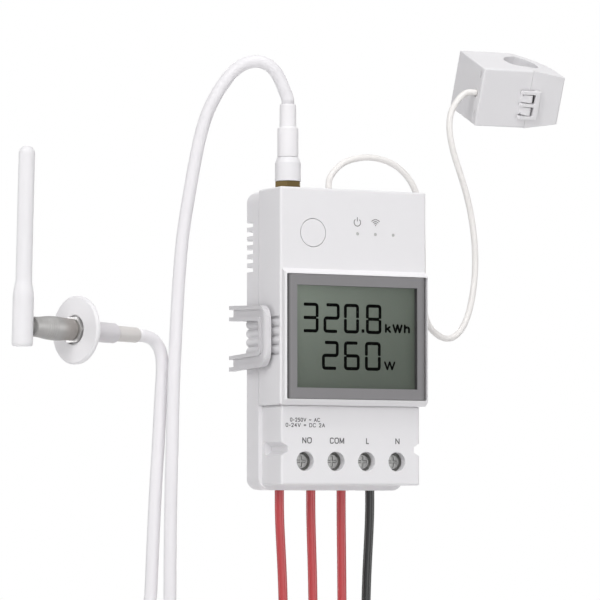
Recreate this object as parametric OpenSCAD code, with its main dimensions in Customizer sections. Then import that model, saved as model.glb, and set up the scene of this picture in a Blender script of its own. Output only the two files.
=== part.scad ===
// Smart energy monitor for a 35 mm rail, with its antenna lead, clamp-on current sensor and four wires.
// Millimetres. +Z is up, the display faces -Y, and the origin is the middle of the rear rail seat.

/* [Case] */
// Width of the case
body_w = 54; // [52:0.5:60]
// Height of the case
body_h = 98; // [96:0.5:106]
// Wall of the mouldings
wall = 1.6; // [1.4:0.1:1.8]
// Depth of the rear housing, from its back to the seam
base_d = 8.9; // [8.8:0.1:11]
// Depth from the seam to the upper front panel
cover_d = 15.7; // [15.5:0.1:18]
// Depth from the seam to the terminal panel
term_d = 13.7; // [13.5:0.1:15]
// Corner radius of the rear housing, seen from the front
corner_r = 4.5; // [3:0.5:6]
// Rounding of the moulded edges
edge_r = 0.8; // [0.4:0.1:1]
// Groove around the case at the seam
seam_gap = 0.35; // [0.2:0.05:0.5]
// Height of the front cover; it and the terminal cover share the case's height in this proportion
cover_h = 70.6; // [70.4:0.1:71]
// Height of the terminal cover; it and the front cover share the case's height in this proportion
term_h = 25.8; // [25.4:0.1:26.2]
// Step from the side of the case in to the terminal cover
term_inset = 1.4; // [1:0.1:1.8]
// Strip of rear housing that shows under the terminal cover
term_rim = 1.6; // [1.6:0.1:2]
// Side wall of the terminal cover
term_side = 2.9; // [2.7:0.1:3.1]
// Height of the raised pad that seats on the rail
pad_h = 0.4; // [0.3:0.1:0.6]
// Width of the raised pad
pad_w = 28; // [20:1:29]
// Length of the raised pad
pad_l = 88; // [60:1:90]

/* [Fits] */
// Gap around a moulding that drops into another
fit = 0.15; // [0.1:0.05:0.2]
// Radial gap of a shaft or thread in its hole
run = 0.05; // [0.03:0.01:0.08]
// Gap between two faces that slide
slide = 0.1; // [0.08:0.01:0.15]

/* [Display] */
// Height of the display block
display_h = 41.8; // [41:0.1:42]
// Height of the display block's middle above the ledge over the terminals
display_z = 22.1; // [21.9:0.1:22.3]
// How far the display block stands out of the upper panel
display_rise = 2.5; // [2:0.1:3]
// Step from the side of the case in to the display block
display_in = 0.5; // [0.4:0.1:0.6]
// Slope that joins the display block to the panel
display_slope = 1.2; // [0.8:0.1:1.2]
// White rim around the bezel
rim = 0.8; // [0.7:0.05:0.9]
// Border of the grey bezel around the window
bezel_border = 3.5; // [3:0.1:4]
// Thickness of the bezel
bezel_t = 3; // [2.8:0.1:3.2]
// Front lip of the bezel over the window
bezel_lip = 1.9; // [1.6:0.1:2]
// Corner radius of the bezel seen from the front
bezel_corner = 0.3; // [0.2:0.1:0.9]
// Rounding of the bezel's left and right edges
bezel_roll = 1.6; // [0.8:0.1:1.8]
// Overlap of the bezel lip and of the cover's ledge
overlap = 1; // [0.8:0.1:1.2]
// Thickness of the clear window
window_t = 0.8; // [0.6:0.1:1]
// Thickness of the display cell
cell_t = 1.7; // [1.5:0.1:2]
// Thickness of the backlight
light_t = 3; // [2.5:0.1:3.2]
// Number of pins under the display
pin_count = 10; // [6:1:12]
// Pitch of the pins under the display
pin_pitch = 2.54; // [2:0.02:2.6]

/* [Button and indicators] */
// Diameter of the button
button_d = 9; // [8:0.1:9.4]
// Button's place across the panel
button_x = -15.1; // [-16:0.1:-14]
// How far the button sits below the top of the case
button_z = 14.7; // [14:0.1:15]
// Groove around the button
button_gap = 0.2; // [0.15:0.05:0.3]
// Travel of the button
button_travel = 0.5; // [0.3:0.1:0.5]
// Diameter of an indicator dot
led_d = 1; // [0.8:0.1:1.2]
// Place of the first indicator
led_x = 1.3; // [0:0.1:2]
// Pitch of the indicators
led_pitch = 6.65; // [6:0.05:7]
// How far the indicators sit below the top of the case
led_z = 14.5; // [14.2:0.1:15]

/* [Terminals] */
// Pitch of the terminals
term_pitch = 11.3; // [11:0.1:11.4]
// Height of the terminal screws above the bottom of the case
screw_z = 9.3; // [9:0.1:9.6]
// Diameter of the hole over a screw
screw_hole_d = 6.3; // [5.7:0.1:6.4]
// How far a screw head lies behind the panel
screw_sink = 1.2; // [1:0.1:1.4]
// Diameter of a screw head
head_d = 5.3; // [5:0.1:5.5]
// Height of a screw head
head_h = 2; // [1.8:0.1:2.2]
// Thread diameter of a screw
screw_d = 3; // [2.8:0.1:3]
// Width of a clamp cage
cage_w = 7; // [6.8:0.1:7.2]
// Height of a clamp cage
cage_h = 7; // [6:0.1:7.2]
// Metal of the clamp cage
cage_t = 1; // [0.8:0.1:1]
// Thickness of a contact bar
bar_t = 1.2; // [1:0.1:1.2]
// Width of a contact bar
bar_w = 4.6; // [4:0.1:4.6]
// How far a cage opens
cage_open = 1; // [0.8:0.1:1]
// Diameter of a wire
wire_d = 3.1; // [2.6:0.1:3.2]
// Length of a wire ferrule's collar
ferrule_h = 5; // [4:0.5:8]
// Length of a ferrule's pin
ferrule_pin = 7; // [5:0.5:10]

/* [Inside] */
// Height of the board above the inner back wall
board_lift = 2.9; // [2.8:0.1:3]
// Thickness of the board
board_t = 1.6; // [1.2:0.1:1.6]
// Gap between the board and the side walls
board_gap = 1.4; // [1.2:0.1:1.8]
// Relay: width, height above the board and length
relay = [15, 12.4, 19];
// Supply module: width, height above the board and length
supply = [18, 11, 17];
// Radio module: width, height above the board and length
radio = [18, 2.6, 8];
// Diameter of the capacitor
cap_d = 8; // [6:0.5:8.5]
// Height of the capacitor
cap_h = 12; // [8:0.5:12.5]
// Case screw posts: distance from the middle
post_x = 22.4; // [22.2:0.1:22.6]
// Case screw posts: height above and below the display block's middle
post_z = 17.7; // [17.6:0.1:17.8]
// Width of a screw post
post_w = 5.4; // [5:0.1:5.6]
// Length of a case screw under its head
case_screw_l = 11; // [10:0.5:12]
// Height of the board's lower edge above the clamp cages
board_rise = 5.2; // [4.8:0.1:5.6]
// Thickness of the contact bars' solder tabs
tab_t = 1.4; // [1:0.1:1.6]
// Thread diameter of a case screw
case_screw_d = 2.2; // [2:0.1:2.4]

/* [Rail latch] */
// Width of the rail
rail_w = 35; // [35:0.1:35.4]
// Thickness of the rail's edge
rail_t = 1; // [1:0.1:1.3]
// How far a hook reaches over the rail's edge
hook_grip = 1.6; // [1.2:0.1:2]
// Thickness of the hooks behind the rail
hook_t = 2.2; // [1.8:0.1:2.5]
// Travel of the latch
latch_travel = 3; // [2.5:0.1:3.5]
// Height of the bow's middle
latch_z = 0.8; // [0.4:0.1:1.2]
// Gap between the bow and the side of the case
bow_gap = 1.2; // [1:0.1:1.5]
// Thickness of the bow
bow_t = 2.2; // [2:0.1:2.6]
// Width of the bow's arms
bow_arm = 5; // [4.8:0.1:5.2]
// Height of the bow at its closed end
bow_h = 20; // [19.6:0.1:20.6]
// Spread of each arm towards its free end
bow_flare = 0.8; // [0.4:0.1:1]
// Distance of the bow's closed end in front of the rail seat
bow_front = 20.8; // [18:0.1:22]
// Length of the arms behind the rail seat
bow_back = 5.3; // [5:0.1:6]
// Width of the bow's raised edges
bow_edge = 1.3; // [1:0.1:1.5]
// Rounding of the bow's closed end towards the front
bow_round = 1.8; // [1:0.1:2]
// Thickness of the guide prongs
prong_t = 1.6; // [1.4:0.1:1.6]
// Reach of the guide prongs into the housing
prong_l = 15; // [12:0.5:16]
// Pitch of the finger ribs
rib_pitch = 2.95; // [2.7:0.05:3]
// Depth of the finger ribs
rib_h = 0.9; // [0.6:0.1:0.9]
// Number of finger ribs on each side
rib_count = 4; // [2:1:4]
// Number of vent slots on each side
vent_count = 6; // [3:1:6]
// Pitch of the vent slots
vent_pitch = 2.95; // [2.8:0.05:3]
// Height of the lowest vent slot
vent_z = 23.1; // [22.8:0.1:24]
// Depth of the vent slots from the back
vent_d = 5; // [4:0.1:5.2]

/* [Antenna plug] */
// Plug's place across the top
plug_x = -18.1; // [-19:0.1:-17.5]
// Distance of the plug in front of the rail seat
plug_y = -13; // [-13.5:0.1:-12.8]
// Thread diameter of the jack
jack_d = 6.3; // [6:0.1:6.4]
// Width across the flats of the jack's nut
jack_nut_w = 8; // [8:0.1:8.5]
// Height of the jack's nut
jack_nut_h = 2.6; // [2:0.1:2.6]
// Height of the jack above its nut
jack_h = 4.7; // [4:0.1:5]
// Diameter of the coupling sleeve
coupling_d = 8.5; // [8.2:0.1:8.8]
// Height of the coupling sleeve
coupling_h = 7.8; // [7.6:0.1:8.4]
// Diameter of the boot over the crimp
boot_d = 6.9; // [6.5:0.1:7.1]
// Length of the boot over the crimp
boot_h = 9.7; // [8:0.1:12]
// Diameter of the sleeve over the cable
sleeve_d = 5.4; // [5.2:0.1:5.6]
// Length of the sleeve over the cable
sleeve_h = 7.7; // [6:0.1:9]

/* [Antenna] */
// Flange's place: across, back and up
flange_at = [-90.8, -6.5, 1.7];
// Turn of the antenna's axis about the vertical
antenna_yaw = 17.5; // [16:0.5:19]
// Rise of the antenna's axis
antenna_rise = 1.5; // [0.5:0.1:2.5]
// Diameter of the panel flange
flange_d = 22; // [18:0.5:26]
// Thickness of the panel flange
flange_t = 2.2; // [2:0.1:3]
// Thread diameter of the panel connector
panel_d = 6.3; // [6:0.1:6.4]
// Width across the flats of the panel nut
panel_nut_w = 8; // [8:0.1:8.4]
// Distance from the flange to the knurled barrel
barrel_at = 2.2; // [2:0.1:2.4]
// Length of the knurled barrel
barrel_l = 16; // [15.6:0.1:16.1]
// Diameter of the knurled barrel
barrel_d = 7.7; // [7.5:0.1:8.2]
// Diameter of the swivel spindle
spindle_d = 4; // [3.6:0.1:4]
// Distance from the flange to the antenna's middle
blade_at = 22.3; // [22.2:0.1:23]
// Diameter of the antenna at its foot
blade_foot_d = 6.7; // [6.4:0.1:6.8]
// Diameter of the antenna at its tip
blade_tip_d = 5.2; // [5:0.1:5.6]
// Length of the antenna above its axis
blade_up = 57; // [50:0.1:80]
// Length of the antenna below its axis
blade_down = 6.5; // [5:0.1:7]
// Height of the thick foot above the axis
blade_foot_h = 9.3; // [8:0.1:12]
// Length of the taper above the foot
blade_taper = 5.7; // [4:0.1:7]
// Diameter of the antenna's inner rod
rod_d = 1.6; // [1.2:0.1:1.8]
// Diameter of the boot behind the flange
tail_d = 6.6; // [6.4:0.1:7]
// Length of the boot behind the flange
tail_l = 13.6; // [13:0.1:16]
// Diameter of the boot's cable end
tail_end_d = 5.1; // [5:0.1:5.6]
// Length of the boot's cable end
tail_end_l = 9.5; // [8:0.1:10]

/* [Antenna cable] */
// Diameter of the antenna cable
cable_d = 4.2; // [3.6:0.1:4.2]
// Coil's place: its right edge across, its middle back and up
coil_at = [-55.5, 0, -138];
// Radius of the put-away coil's outer turn
coil_r = 30; // [28:0.5:30]
// Number of turns in the coil
coil_turns = 4.75; // [2.75:1:4.75]
// Step between turns beside each other
coil_step = 4.75; // [4.7:0.05:4.9]
// Step between the two layers
layer_step = 4.8; // [4.7:0.05:5]
// Width of the coil's tie
tie_w = 6; // [4:0.5:8]
// Thickness of the tie
tie_t = 0.8; // [0.6:0.1:1.2]

/* [Current clamp] */
// Clamp's place, at the middle of the parting line on its front: across, back and up
clamp_at = [75.7, -10, 83.9];
// Lean of the clamp
clamp_lean = 23.5; // [20:0.5:26]
// Turn of the clamp about the vertical
clamp_turn = -4.5; // [-6:0.5:0]
// Length of the fixed half
clamp_l = 18.5; // [18.3:0.1:20]
// Length of the jaw
jaw_l = 12.5; // [12:0.1:13.5]
// Depth of the clamp, front to back
clamp_d = 21.5; // [21.4:0.1:22]
// Height of the clamp
clamp_h = 20.5; // [20:0.1:22]
// Height of the jaw at its end
jaw_end_h = 16.5; // [16:0.1:18]
// Radius of the jaw's round back
jaw_r = 14; // [13.8:0.1:14.4]
// Diameter of the opening for the conductor
aperture_d = 12; // [10:0.1:12]
// Inner radius of the core
core_r = 7.2; // [7.1:0.1:7.3]
// Thickness of the core
core_t = 2; // [1.6:0.1:2]
// Height of the core
core_h = 12; // [10:0.5:13]
// Distance from the core's inner edge back to its yoke
yoke_out = 6.8; // [6.6:0.1:7]
// Width of the winding on the yoke
winding_w = 7.4; // [7:0.1:7.6]
// Length of the winding on the yoke
winding_l = 13; // [11:0.5:13.5]
// How far the winding stands out above and below the core
winding_over = 2.2; // [1.8:0.1:2.4]
// Diameter of the hinge pin
hinge_d = 2; // [1.8:0.1:2.2]
// Outer diameter of the hinge barrels
knuckle_d = 4.4; // [4:0.1:4.6]
// Gap at the parting line
part_gap = 0.1; // [0.08:0.02:0.2]
// Height of the latch on the clamp's front
clasp_h = 10; // [9:0.1:10.4]
// Thickness of the latch
clasp_t = 1.3; // [1:0.1:1.6]
// Diameter of the sensor cable
lead_d = 2.1; // [1.8:0.1:2.4]
// Sensor cable's place across the top of the case
lead_x = -2.5; // [-3:0.1:-2]
// Distance of the sensor cable in front of the rail seat
lead_y = -12; // [-12.5:0.1:-11.5]
// Diameter of the grommet in the top wall
grommet_d = 5; // [4.5:0.1:5.5]

/* [Hidden] */
$fn = 48;

// Colours
white = "#f2f2f2";
soft_white = "#e6e6e6";
grey = "#858385";
steel = "#a8a8a8";
brass = "#b8923f";
copper = "#b87333";
dark = "#333333";
board_green = "#2f6b3c";
red = "#c84b50";

// Planes from front to back
back_y = -pad_h;
inner_back_y = back_y - wall;
seam_y = back_y - base_d;
upper_y = seam_y - cover_d;
inner_upper_y = upper_y + wall;
display_y = upper_y - display_rise;
term_y = seam_y - term_d;
inner_term_y = term_y + wall;
half_w = body_w / 2;
half_h = body_h / 2;
inner_w = half_w - wall;
cover_low = half_h - (body_h - term_rim) * cover_h / (cover_h + term_h);
term_half = half_w - term_inset;
term_low = -half_h + term_rim;

// Heights of the display, the button, the indicators and the terminal screws
display_mid = cover_low + display_z;
screw_mid = screw_z - half_h;
button_mid = half_h - button_z;
led_mid = half_h - led_z;

// Display stack
display_half = half_w - display_in;
bezel_w = 2 * (display_half - rim);
bezel_h = display_h - 2 * rim;
bezel_back = display_y + bezel_t;
window_w = bezel_w - 2 * bezel_border;
window_h = bezel_h - 2 * bezel_border;
stack_w = window_w + 2 * overlap;
stack_h = window_h + 2 * overlap;
window_y = display_y + bezel_lip;
cell_y = window_y + window_t;
light_y = cell_y + cell_t;
light_back = light_y + light_t;
board_back = inner_back_y - board_lift;
board_y = board_back - board_t;
board_half = inner_w - board_gap;
pin_row = display_mid - stack_h / 2 + 2;
board_low = screw_mid + cage_h / 2 + board_rise;
board_top = half_h - wall - 1.8;

// Terminals, from the back wall forwards
term_x = [for (i = [0:3]) (i - 1.5) * term_pitch];
cage_back = inner_back_y - 0.3 - cage_open;
wire_room = wire_d + 0.2;
bar_back = cage_back - cage_t - wire_room;
bar_y = bar_back - bar_t;
wire_y = bar_back + wire_room / 2;
cage_y = bar_y - 2.3 - 2 * cage_t;
block_front = inner_term_y + screw_sink + head_h + 0.2;
head_y = block_front - slide;
block_half = term_half - term_side - fit;
block_low = term_low + wall + fit;
block_top = screw_mid + cage_h / 2 + 3.6;
chamber_w = cage_w + 0.6;
wire_play = cage_w / 2 - cage_t - wire_d / 2 - 0.1;
wire_shift = [for (aside = [-0.6, -0.3, -0.3, -1]) max(aside, -wire_play)];
wire_drift = [0.8, 0.5, 0, -2.3];
wire_end = -half_h - 57;

// Rail latch and its guides
rail_half = rail_w / 2;
hook_y = rail_t + 0.2;
bow_x = -half_w - bow_gap;
arm_mid = bow_h / 2 - bow_arm / 2;
prong_w = bow_arm - bow_edge;
prong_y = inner_back_y - 0.2;
vent_w = vent_pitch / 2;

// Antenna plug stack on the top wall
nut_top = half_h + jack_nut_h;
jack_top = nut_top + jack_h;
coupling_low = nut_top + 0.2;
coupling_top = coupling_low + coupling_h;
spigot_d = boot_d - 2.4;
boot_top = coupling_top + slide + boot_h;
sleeve_top = boot_top + sleeve_h;
grommet_top = half_h + 0.6;

// Antenna axis: heights run from the flange's cable side towards the antenna
hex_back = 2.2;
flange_seat = 0.8;
spindle_foot = barrel_at + 8.8;
tail_end = -flange_t / 2 - hex_back - tail_l - tail_end_l;

// Clamp
aperture_y = clamp_d / 2;
hinge_y = clamp_d + 1.6;
tube_r = core_r - 0.2;
yoke_x = -core_r - yoke_out;
clasp_z = -1.6;
eye_z = clasp_h * 0.22;
eye_half = clasp_h * 0.16;
entry = [-clamp_l, 3.5, 0.5];
slot_high = clamp_h / 2 - 2.8;
slot_low = 3.6 - clamp_h / 2;
slot_deep = 0.6;

// Places on the leaning clamp and on the antenna's axis
function turned_x(p, a) = [p.x, p.y * cos(a) - p.z * sin(a), p.y * sin(a) + p.z * cos(a)];
function turned_y(p, a) = [p.x * cos(a) + p.z * sin(a), p.y, p.z * cos(a) - p.x * sin(a)];
function turned_z(p, a) = [p.x * cos(a) - p.y * sin(a), p.x * sin(a) + p.y * cos(a), p.z];
function on_clamp(p) = clamp_at + turned_z(turned_x(p, clamp_lean), clamp_turn);
function on_antenna(p) = flange_at + turned_z(turned_y(p, antenna_rise), antenna_yaw);

// Coil of the unseen cable: spirals in on the front layer, climbs, and spirals out on the back layer
coil_mid = coil_at - [coil_r, 0, 0];
ease_turns = 0.25;
function eased(t) = t <= 0 ? 0 : t >= 1 ? 1 : t * t * (3 - 2 * t);
function coil_radius(n) = coil_r - coil_step * min(n, coil_turns - n);
function coil_layer(n) = layer_step * (eased((n - coil_turns / 2 + ease_turns) / (2 * ease_turns)) - 0.5);
function coil_point(n) =
    coil_mid + [coil_radius(n) * cos(360 * n), coil_layer(n), -coil_radius(n) * sin(360 * n)];
coil_rings = round(24 * coil_turns);
coil_start = coil_point(0) + [0, 0, cable_d];
coil_finish = coil_point(coil_turns) + [cable_d, 0, 0];
coil_route = concat(
    [coil_start],
    [for (i = [0:coil_rings]) coil_point(i * coil_turns / coil_rings)],
    [coil_finish]
);
coil_gap = min([
    for (i = [0:len(coil_route) - 1], j = [i + 12:1:len(coil_route) - 1])
        norm(coil_route[i] - coil_route[j])
]) - cable_d;

// Antenna cable, from the plug up, over and down to the coil
down_route = concat([[plug_x, plug_y, sleeve_top], [plug_x, plug_y, sleeve_top + 1.2]], [
    [-18.8, -12.9, 80.5], [-20.6, -12.4, 85], [-23.8, -11.5, 89.5], [-28, -10, 91], [-33, -8, 89.4],
    [-38.2, -6, 83.5], [-42.7, -4, 74.5], [-45.2, -2.6, 65], [-47, -1.8, 55], [-48.6, -1.2, 45],
    [-50, -0.6, 35], [-51.1, -0.4, 24], [-52, -0.5, 12], [-52.8, -0.8, 0], [-53.5, -1, -12],
    [-54, -1.3, -24], [-54.4, -1.6, -36], [-54.8, -1.8, -48], [-55.1, -2, -60], [-55.3, -2.2, -72],
    [-55.4, -2.3, -84], [-55.5, -2.4, -96], [-55.5, -2.4, -108], [-55.5, -2.4, -121]
], [coil_start]);

// Antenna cable, from the coil up to the antenna's boot
up_route = concat([coil_finish, coil_finish + [1.2, 0, 0]], [
    [-77, 2.4, -107.5], [-71.5, 2.4, -105.2], [-66.5, 2.4, -101], [-62.6, 2.4, -94.5], [-60.4, 2.4, -86],
    [-59.6, 2.5, -75], [-59, 2.6, -63], [-58.3, 2.8, -51], [-57.4, 3.1, -39], [-56.6, 3.4, -28],
    [-55.7, 4, -17], [-55.2, 4.2, -9], [-56.1, 4, -3.6], [-58.8, 3.4, -0.3]
], [on_antenna([2 - tail_end, 0, 0]), on_antenna([-tail_end, 0, 0])]);

// Sensor cable, from the top of the case round its right side to the clamp
lead_route = concat([[lead_x, lead_y, grommet_top], [lead_x, lead_y, grommet_top + 1]], [
    [-2.3, -12, 52.8], [-0.4, -12, 56], [3, -12, 58.8], [8, -12, 60.6], [14, -12, 61.1], [20.5, -12, 59.8],
    [26.2, -12, 56.4], [30, -12, 51.2], [32, -12, 44.5], [32.8, -12, 37], [33, -12, 29], [33, -12, 21],
    [33.4, -12, 13], [35, -12, 6.5], [38.5, -12, 3], [43.5, -11.5, 1.8], [48, -11, 4.5], [51.3, -10.5, 10],
    [53.6, -10, 18], [54.7, -9.5, 26], [54.7, -9.2, 34], [53.8, -8.8, 42.5], [51.8, -8.4, 51.5],
    [49, -8, 60], [46.8, -7.6, 67.5], [46.2, -7.2, 73.5], [47.2, -6.7, 78.5], [50, -6.1, 82.6]
], [on_clamp(entry + [-3, 0, 0]), on_clamp(entry + [1, 0, 0])]);

// A wire, from its terminal down
function wire_route(i) = [
    [term_x[i] + wire_shift[i], wire_y, screw_mid + 2.6],
    [term_x[i] + wire_shift[i], wire_y, -half_h - 6],
    [term_x[i] + (wire_shift[i] + wire_drift[i]) / 2, wire_y, -half_h - 21],
    [term_x[i] + wire_drift[i], wire_y, -half_h - 39],
    [term_x[i] + wire_drift[i], wire_y, wire_end]
];

// A round tube swept along a route, with its rings carried along without twist
function unit(v) = v / norm(v);
function headings(p) =
    [for (i = [0:len(p) - 1]) unit(p[min(i + 1, len(p) - 1)] - p[max(i - 1, 0)])];
function carried(t, sides, i) =
    i == len(t) ? sides :
    carried(t, concat(sides, [unit(sides[i - 1] - (sides[i - 1] * t[i]) * t[i])]), i + 1);
module tube(route, d, sides) {
    t = headings(route);
    side = carried(t, [unit(cross(t[0], [0, 1, 0.1]))], 1);
    rings = len(route);
    points = [
        for (i = [0:rings - 1], k = [0:sides - 1])
            let (a = 360 * k / sides)
            route[i] + d / 2 * (cos(a) * side[i] + sin(a) * cross(t[i], side[i]))
    ];
    walls = [
        for (i = [0:rings - 2], k = [0:sides - 1], half = [0, 1])
            let (a = i * sides + k, b = i * sides + (k + 1) % sides)
            half == 0 ? [a, a + sides, b] : [b, a + sides, b + sides]
    ];
    ends = [
        for (k = [1:sides - 2], end = [0, 1])
            let (a = (rings - 1) * sides)
            end == 0 ? [0, k, k + 1] : [a, a + k + 1, a + k]
    ];
    polyhedron(points, concat(walls, ends));
}

// Flat shapes carried along one axis
module along_x(x) {
    translate([x[0], 0, 0]) rotate([90, 0, 90]) linear_extrude(x[1] - x[0]) children();
}
module along_y(y) {
    translate([0, y[1], 0]) rotate([90, 0, 0]) linear_extrude(y[1] - y[0]) children();
}
module along_z(z) {
    translate([0, 0, z[0]]) linear_extrude(z[1] - z[0]) children();
}
module span(a, b) {
    translate([a[0], b[0]]) square([a[1] - a[0], b[1] - b[0]]);
}
module round_span(a, b, r) {
    span([a[0] + r, a[1] - r], b);
    span(a, [b[0] + r, b[1] - r]);
    for (u = [a[0] + r, a[1] - r], v = [b[0] + r, b[1] - r]) translate([u, v]) circle(r);
}
module box(x, y, z) {
    translate([x[0], y[0], z[0]]) cube([x[1] - x[0], y[1] - y[0], z[1] - z[0]]);
}
module rod_x(y, z, d, x) {
    translate([x[0], y, z]) rotate([0, 90, 0]) cylinder(d = d, h = x[1] - x[0]);
}
module rod_y(x, z, d, y) {
    translate([x, y[1], z]) rotate([90, 0, 0]) cylinder(d = d, h = y[1] - y[0]);
}
module rod_z(x, y, d, z) {
    translate([x, y, z[0]]) cylinder(d = d, h = z[1] - z[0]);
}

// A box with rounded edges on its front, back or end faces, and rc on its corners seen from the front
module eased_box(x, y, z, r, rc, front = 0, back = 0, left = 0, right = 0) {
    far = 2 * r;
    yy = [y[0] - (1 - front) * far, y[1] + (1 - back) * far];
    xx = [x[0] - left * far, x[1] + right * far];
    intersection() {
        along_y(y) intersection() {
            round_span(xx, z, rc);
            span(x, z);
        }
        along_z(z) round_span(xx, yy, r);
        along_x(x) round_span(yy, z, r);
    }
}

// Case mouldings

// Rows of finger ribs, cut into the side walls and left standing between the grooves
module rib_pockets(y) {
    tall = rib_count * rib_pitch + 0.9;
    for (s = [-1, 1])
        box(s > 0 ? [half_w - rib_h, half_w + 1] : [-half_w - 1, rib_h - half_w], y,
            [latch_z - tall / 2, latch_z + tall / 2]);
}
module ribs(y) {
    skin = rib_h + 0.1;
    for (s = [-1, 1], i = [0:rib_count - 1])
        intersection() {
            rod_y(s * (half_w - rib_pitch / 2), latch_z + (i - (rib_count - 1) / 2) * rib_pitch,
                rib_pitch, y);
            box(s > 0 ? [half_w - skin, half_w] : [-half_w, skin - half_w], y, [-half_h, half_h]);
        }
}

// Square posts that take the case screws
module posts(y) {
    for (sx = [-1, 1], sz = [-1, 1])
        box(sx > 0 ? [post_x - post_w / 2, inner_w + 0.1] : [-inner_w - 0.1, post_w / 2 - post_x], y,
            [display_mid + sz * post_z - post_w / 2, display_mid + sz * post_z + post_w / 2]);
}
module post_holes(d, y) {
    for (sx = [-1, 1], sz = [-1, 1]) rod_y(sx * post_x, display_mid + sz * post_z, d, y);
}
case_head_d = 2 * case_screw_d;
case_head_h = 1.8;
case_head_y = back_y - 2.4;

// Tray of the case, with the rail seat, the fixed rail hook and the guides of the latch
module rear_housing() {
    tray_r = corner_r - wall;
    guide_x = [-inner_w - 0.1, bow_x + prong_l + 1.2];
    guide_half = prong_w / 2 + 0.7;
    color(white) difference() {
        union() {
            difference() {
                eased_box([-half_w, half_w], [seam_y, back_y], [-half_h, half_h], edge_r, corner_r, back = 1);
                along_y([seam_y - 1, inner_back_y])
                    round_span([-inner_w, inner_w], [wall - half_h, half_h - wall], tray_r);
                rib_pockets([seam_y - 1, back_y + 1]);
            }
            ribs([seam_y, back_y]);
            along_y([back_y - 0.2, 0]) round_span([-pad_w / 2, pad_w / 2], [-pad_l / 2, pad_l / 2], 2);
            for (s = [-1, 1])
                box(guide_x, [board_back, inner_back_y + 0.1],
                    [latch_z + s * arm_mid - guide_half, latch_z + s * arm_mid + guide_half]);
            for (s = [-1, 1])
                box([s * 12 - 2, s * 12 + 2], [board_back, inner_back_y + 0.1],
                    [board_top - 8, board_top - 4]);
            posts([seam_y, inner_back_y + 0.1]);
            fixed_hook();
        }
        for (s = [-1, 1])
            box([-half_w - 1, bow_x + prong_l + 0.3], [prong_y - prong_t - slide, prong_y + slide],
                [latch_z + s * arm_mid - prong_w / 2 - slide, latch_z + s * arm_mid + prong_w / 2 + slide]);
        vents();
        post_holes(case_screw_d + 0.2, [seam_y - 1, case_head_y + 1]);
        post_holes(case_head_d + 0.4, [case_head_y, back_y + 1]);
        for (i = [0:3])
            rod_z(term_x[i] + wire_shift[i], wire_y, wire_d + 0.8, [-half_h - 1, wall + 1 - half_h]);
    }
}
module fixed_hook() {
    reach = [latch_z - bow_h / 2, latch_z + bow_h / 2];
    box([rail_half + 0.2, rail_half + 3], [back_y - 0.2, hook_y + hook_t], reach);
    box([rail_half - hook_grip, rail_half + 1], [hook_y, hook_y + hook_t], reach);
}
module vents() {
    reach = wall + 1.4;
    for (s = [-1, 1], i = [0:vent_count - 1])
        box(s > 0 ? [half_w - reach, half_w + 1] : [-half_w - 1, reach - half_w],
            [back_y - vent_d, back_y + 1],
            [vent_z + i * vent_pitch - vent_w / 2, vent_z + i * vent_pitch + vent_w / 2]);
}

// Upper shell with the display block, the button hole and the holes in its top wall
module front_cover() {
    low = cover_low + wall;
    top = half_h - wall;
    z0 = display_mid - display_h / 2;
    z1 = display_mid + display_h / 2;
    ledge_w = bezel_w / 2 - overlap;
    ledge_h = bezel_h / 2 - overlap;
    rib_y = [bezel_back + 0.2, seam_y];
    color(white) difference() {
        union() {
            difference() {
                union() {
                    eased_box([-half_w, half_w], [upper_y, seam_y], [cover_low, half_h],
                        edge_r, edge_r, front = 1);
                    eased_box([-display_half, display_half], [display_y, inner_upper_y], [z0, z1],
                        edge_r, edge_r, front = 1);
                    along_x([-display_half, display_half]) display_slopes(z0, z1);
                }
                along_y([inner_upper_y, seam_y + 1]) span([-inner_w, inner_w], [low, top]);
                rib_pockets([rib_y[0], rib_y[1] + 1]);
            }
            ribs([rib_y[0] - 0.1, rib_y[1]]);
            posts([light_back + 0.5, seam_y]);
        }
        along_y([display_y - 1, bezel_back])
            round_span([-bezel_w / 2 - fit, bezel_w / 2 + fit],
                [display_mid - bezel_h / 2 - fit, display_mid + bezel_h / 2 + fit], bezel_corner + 0.1);
        along_y([bezel_back - 1, inner_upper_y + 1])
            span([-ledge_w, ledge_w], [display_mid - ledge_h, display_mid + ledge_h]);
        rod_y(button_x, button_mid, button_d + 2 * button_gap, [upper_y - 1, inner_upper_y + 1]);
        for (i = [0:2])
            rod_y(led_x + i * led_pitch, led_mid, led_d + 2 * run, [upper_y - 1, inner_upper_y + 1]);
        post_holes(case_screw_d + 2 * run, [light_back + 2.5, seam_y + 1]);
        rod_z(plug_x, plug_y, jack_d + 2 * run, [top - 1, half_h + 1]);
        rod_z(lead_x, lead_y, grommet_d + 2 * run, [top - 1, half_h + 1]);
        seam_groove();
    }
}
module seam_groove() {
    along_y([seam_y - seam_gap, seam_y + 1]) difference() {
        span([-half_w - 1, half_w + 1], [cover_low - 1, half_h + 1]);
        span([seam_gap - half_w, half_w - seam_gap], [cover_low - 2, half_h - seam_gap]);
    }
}
module display_slopes(z0, z1) {
    root = upper_y + wall / 2;
    lip = display_y + edge_r;
    polygon([
        [root, z1 + display_slope], [upper_y, z1 + display_slope], [lip, z1], [lip, z1 - 1], [root, z1 - 1]
    ]);
    polygon([
        [root, z0 - display_slope], [upper_y, z0 - display_slope], [lip, z0], [lip, z0 + 1], [root, z0 + 1]
    ]);
}

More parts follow.
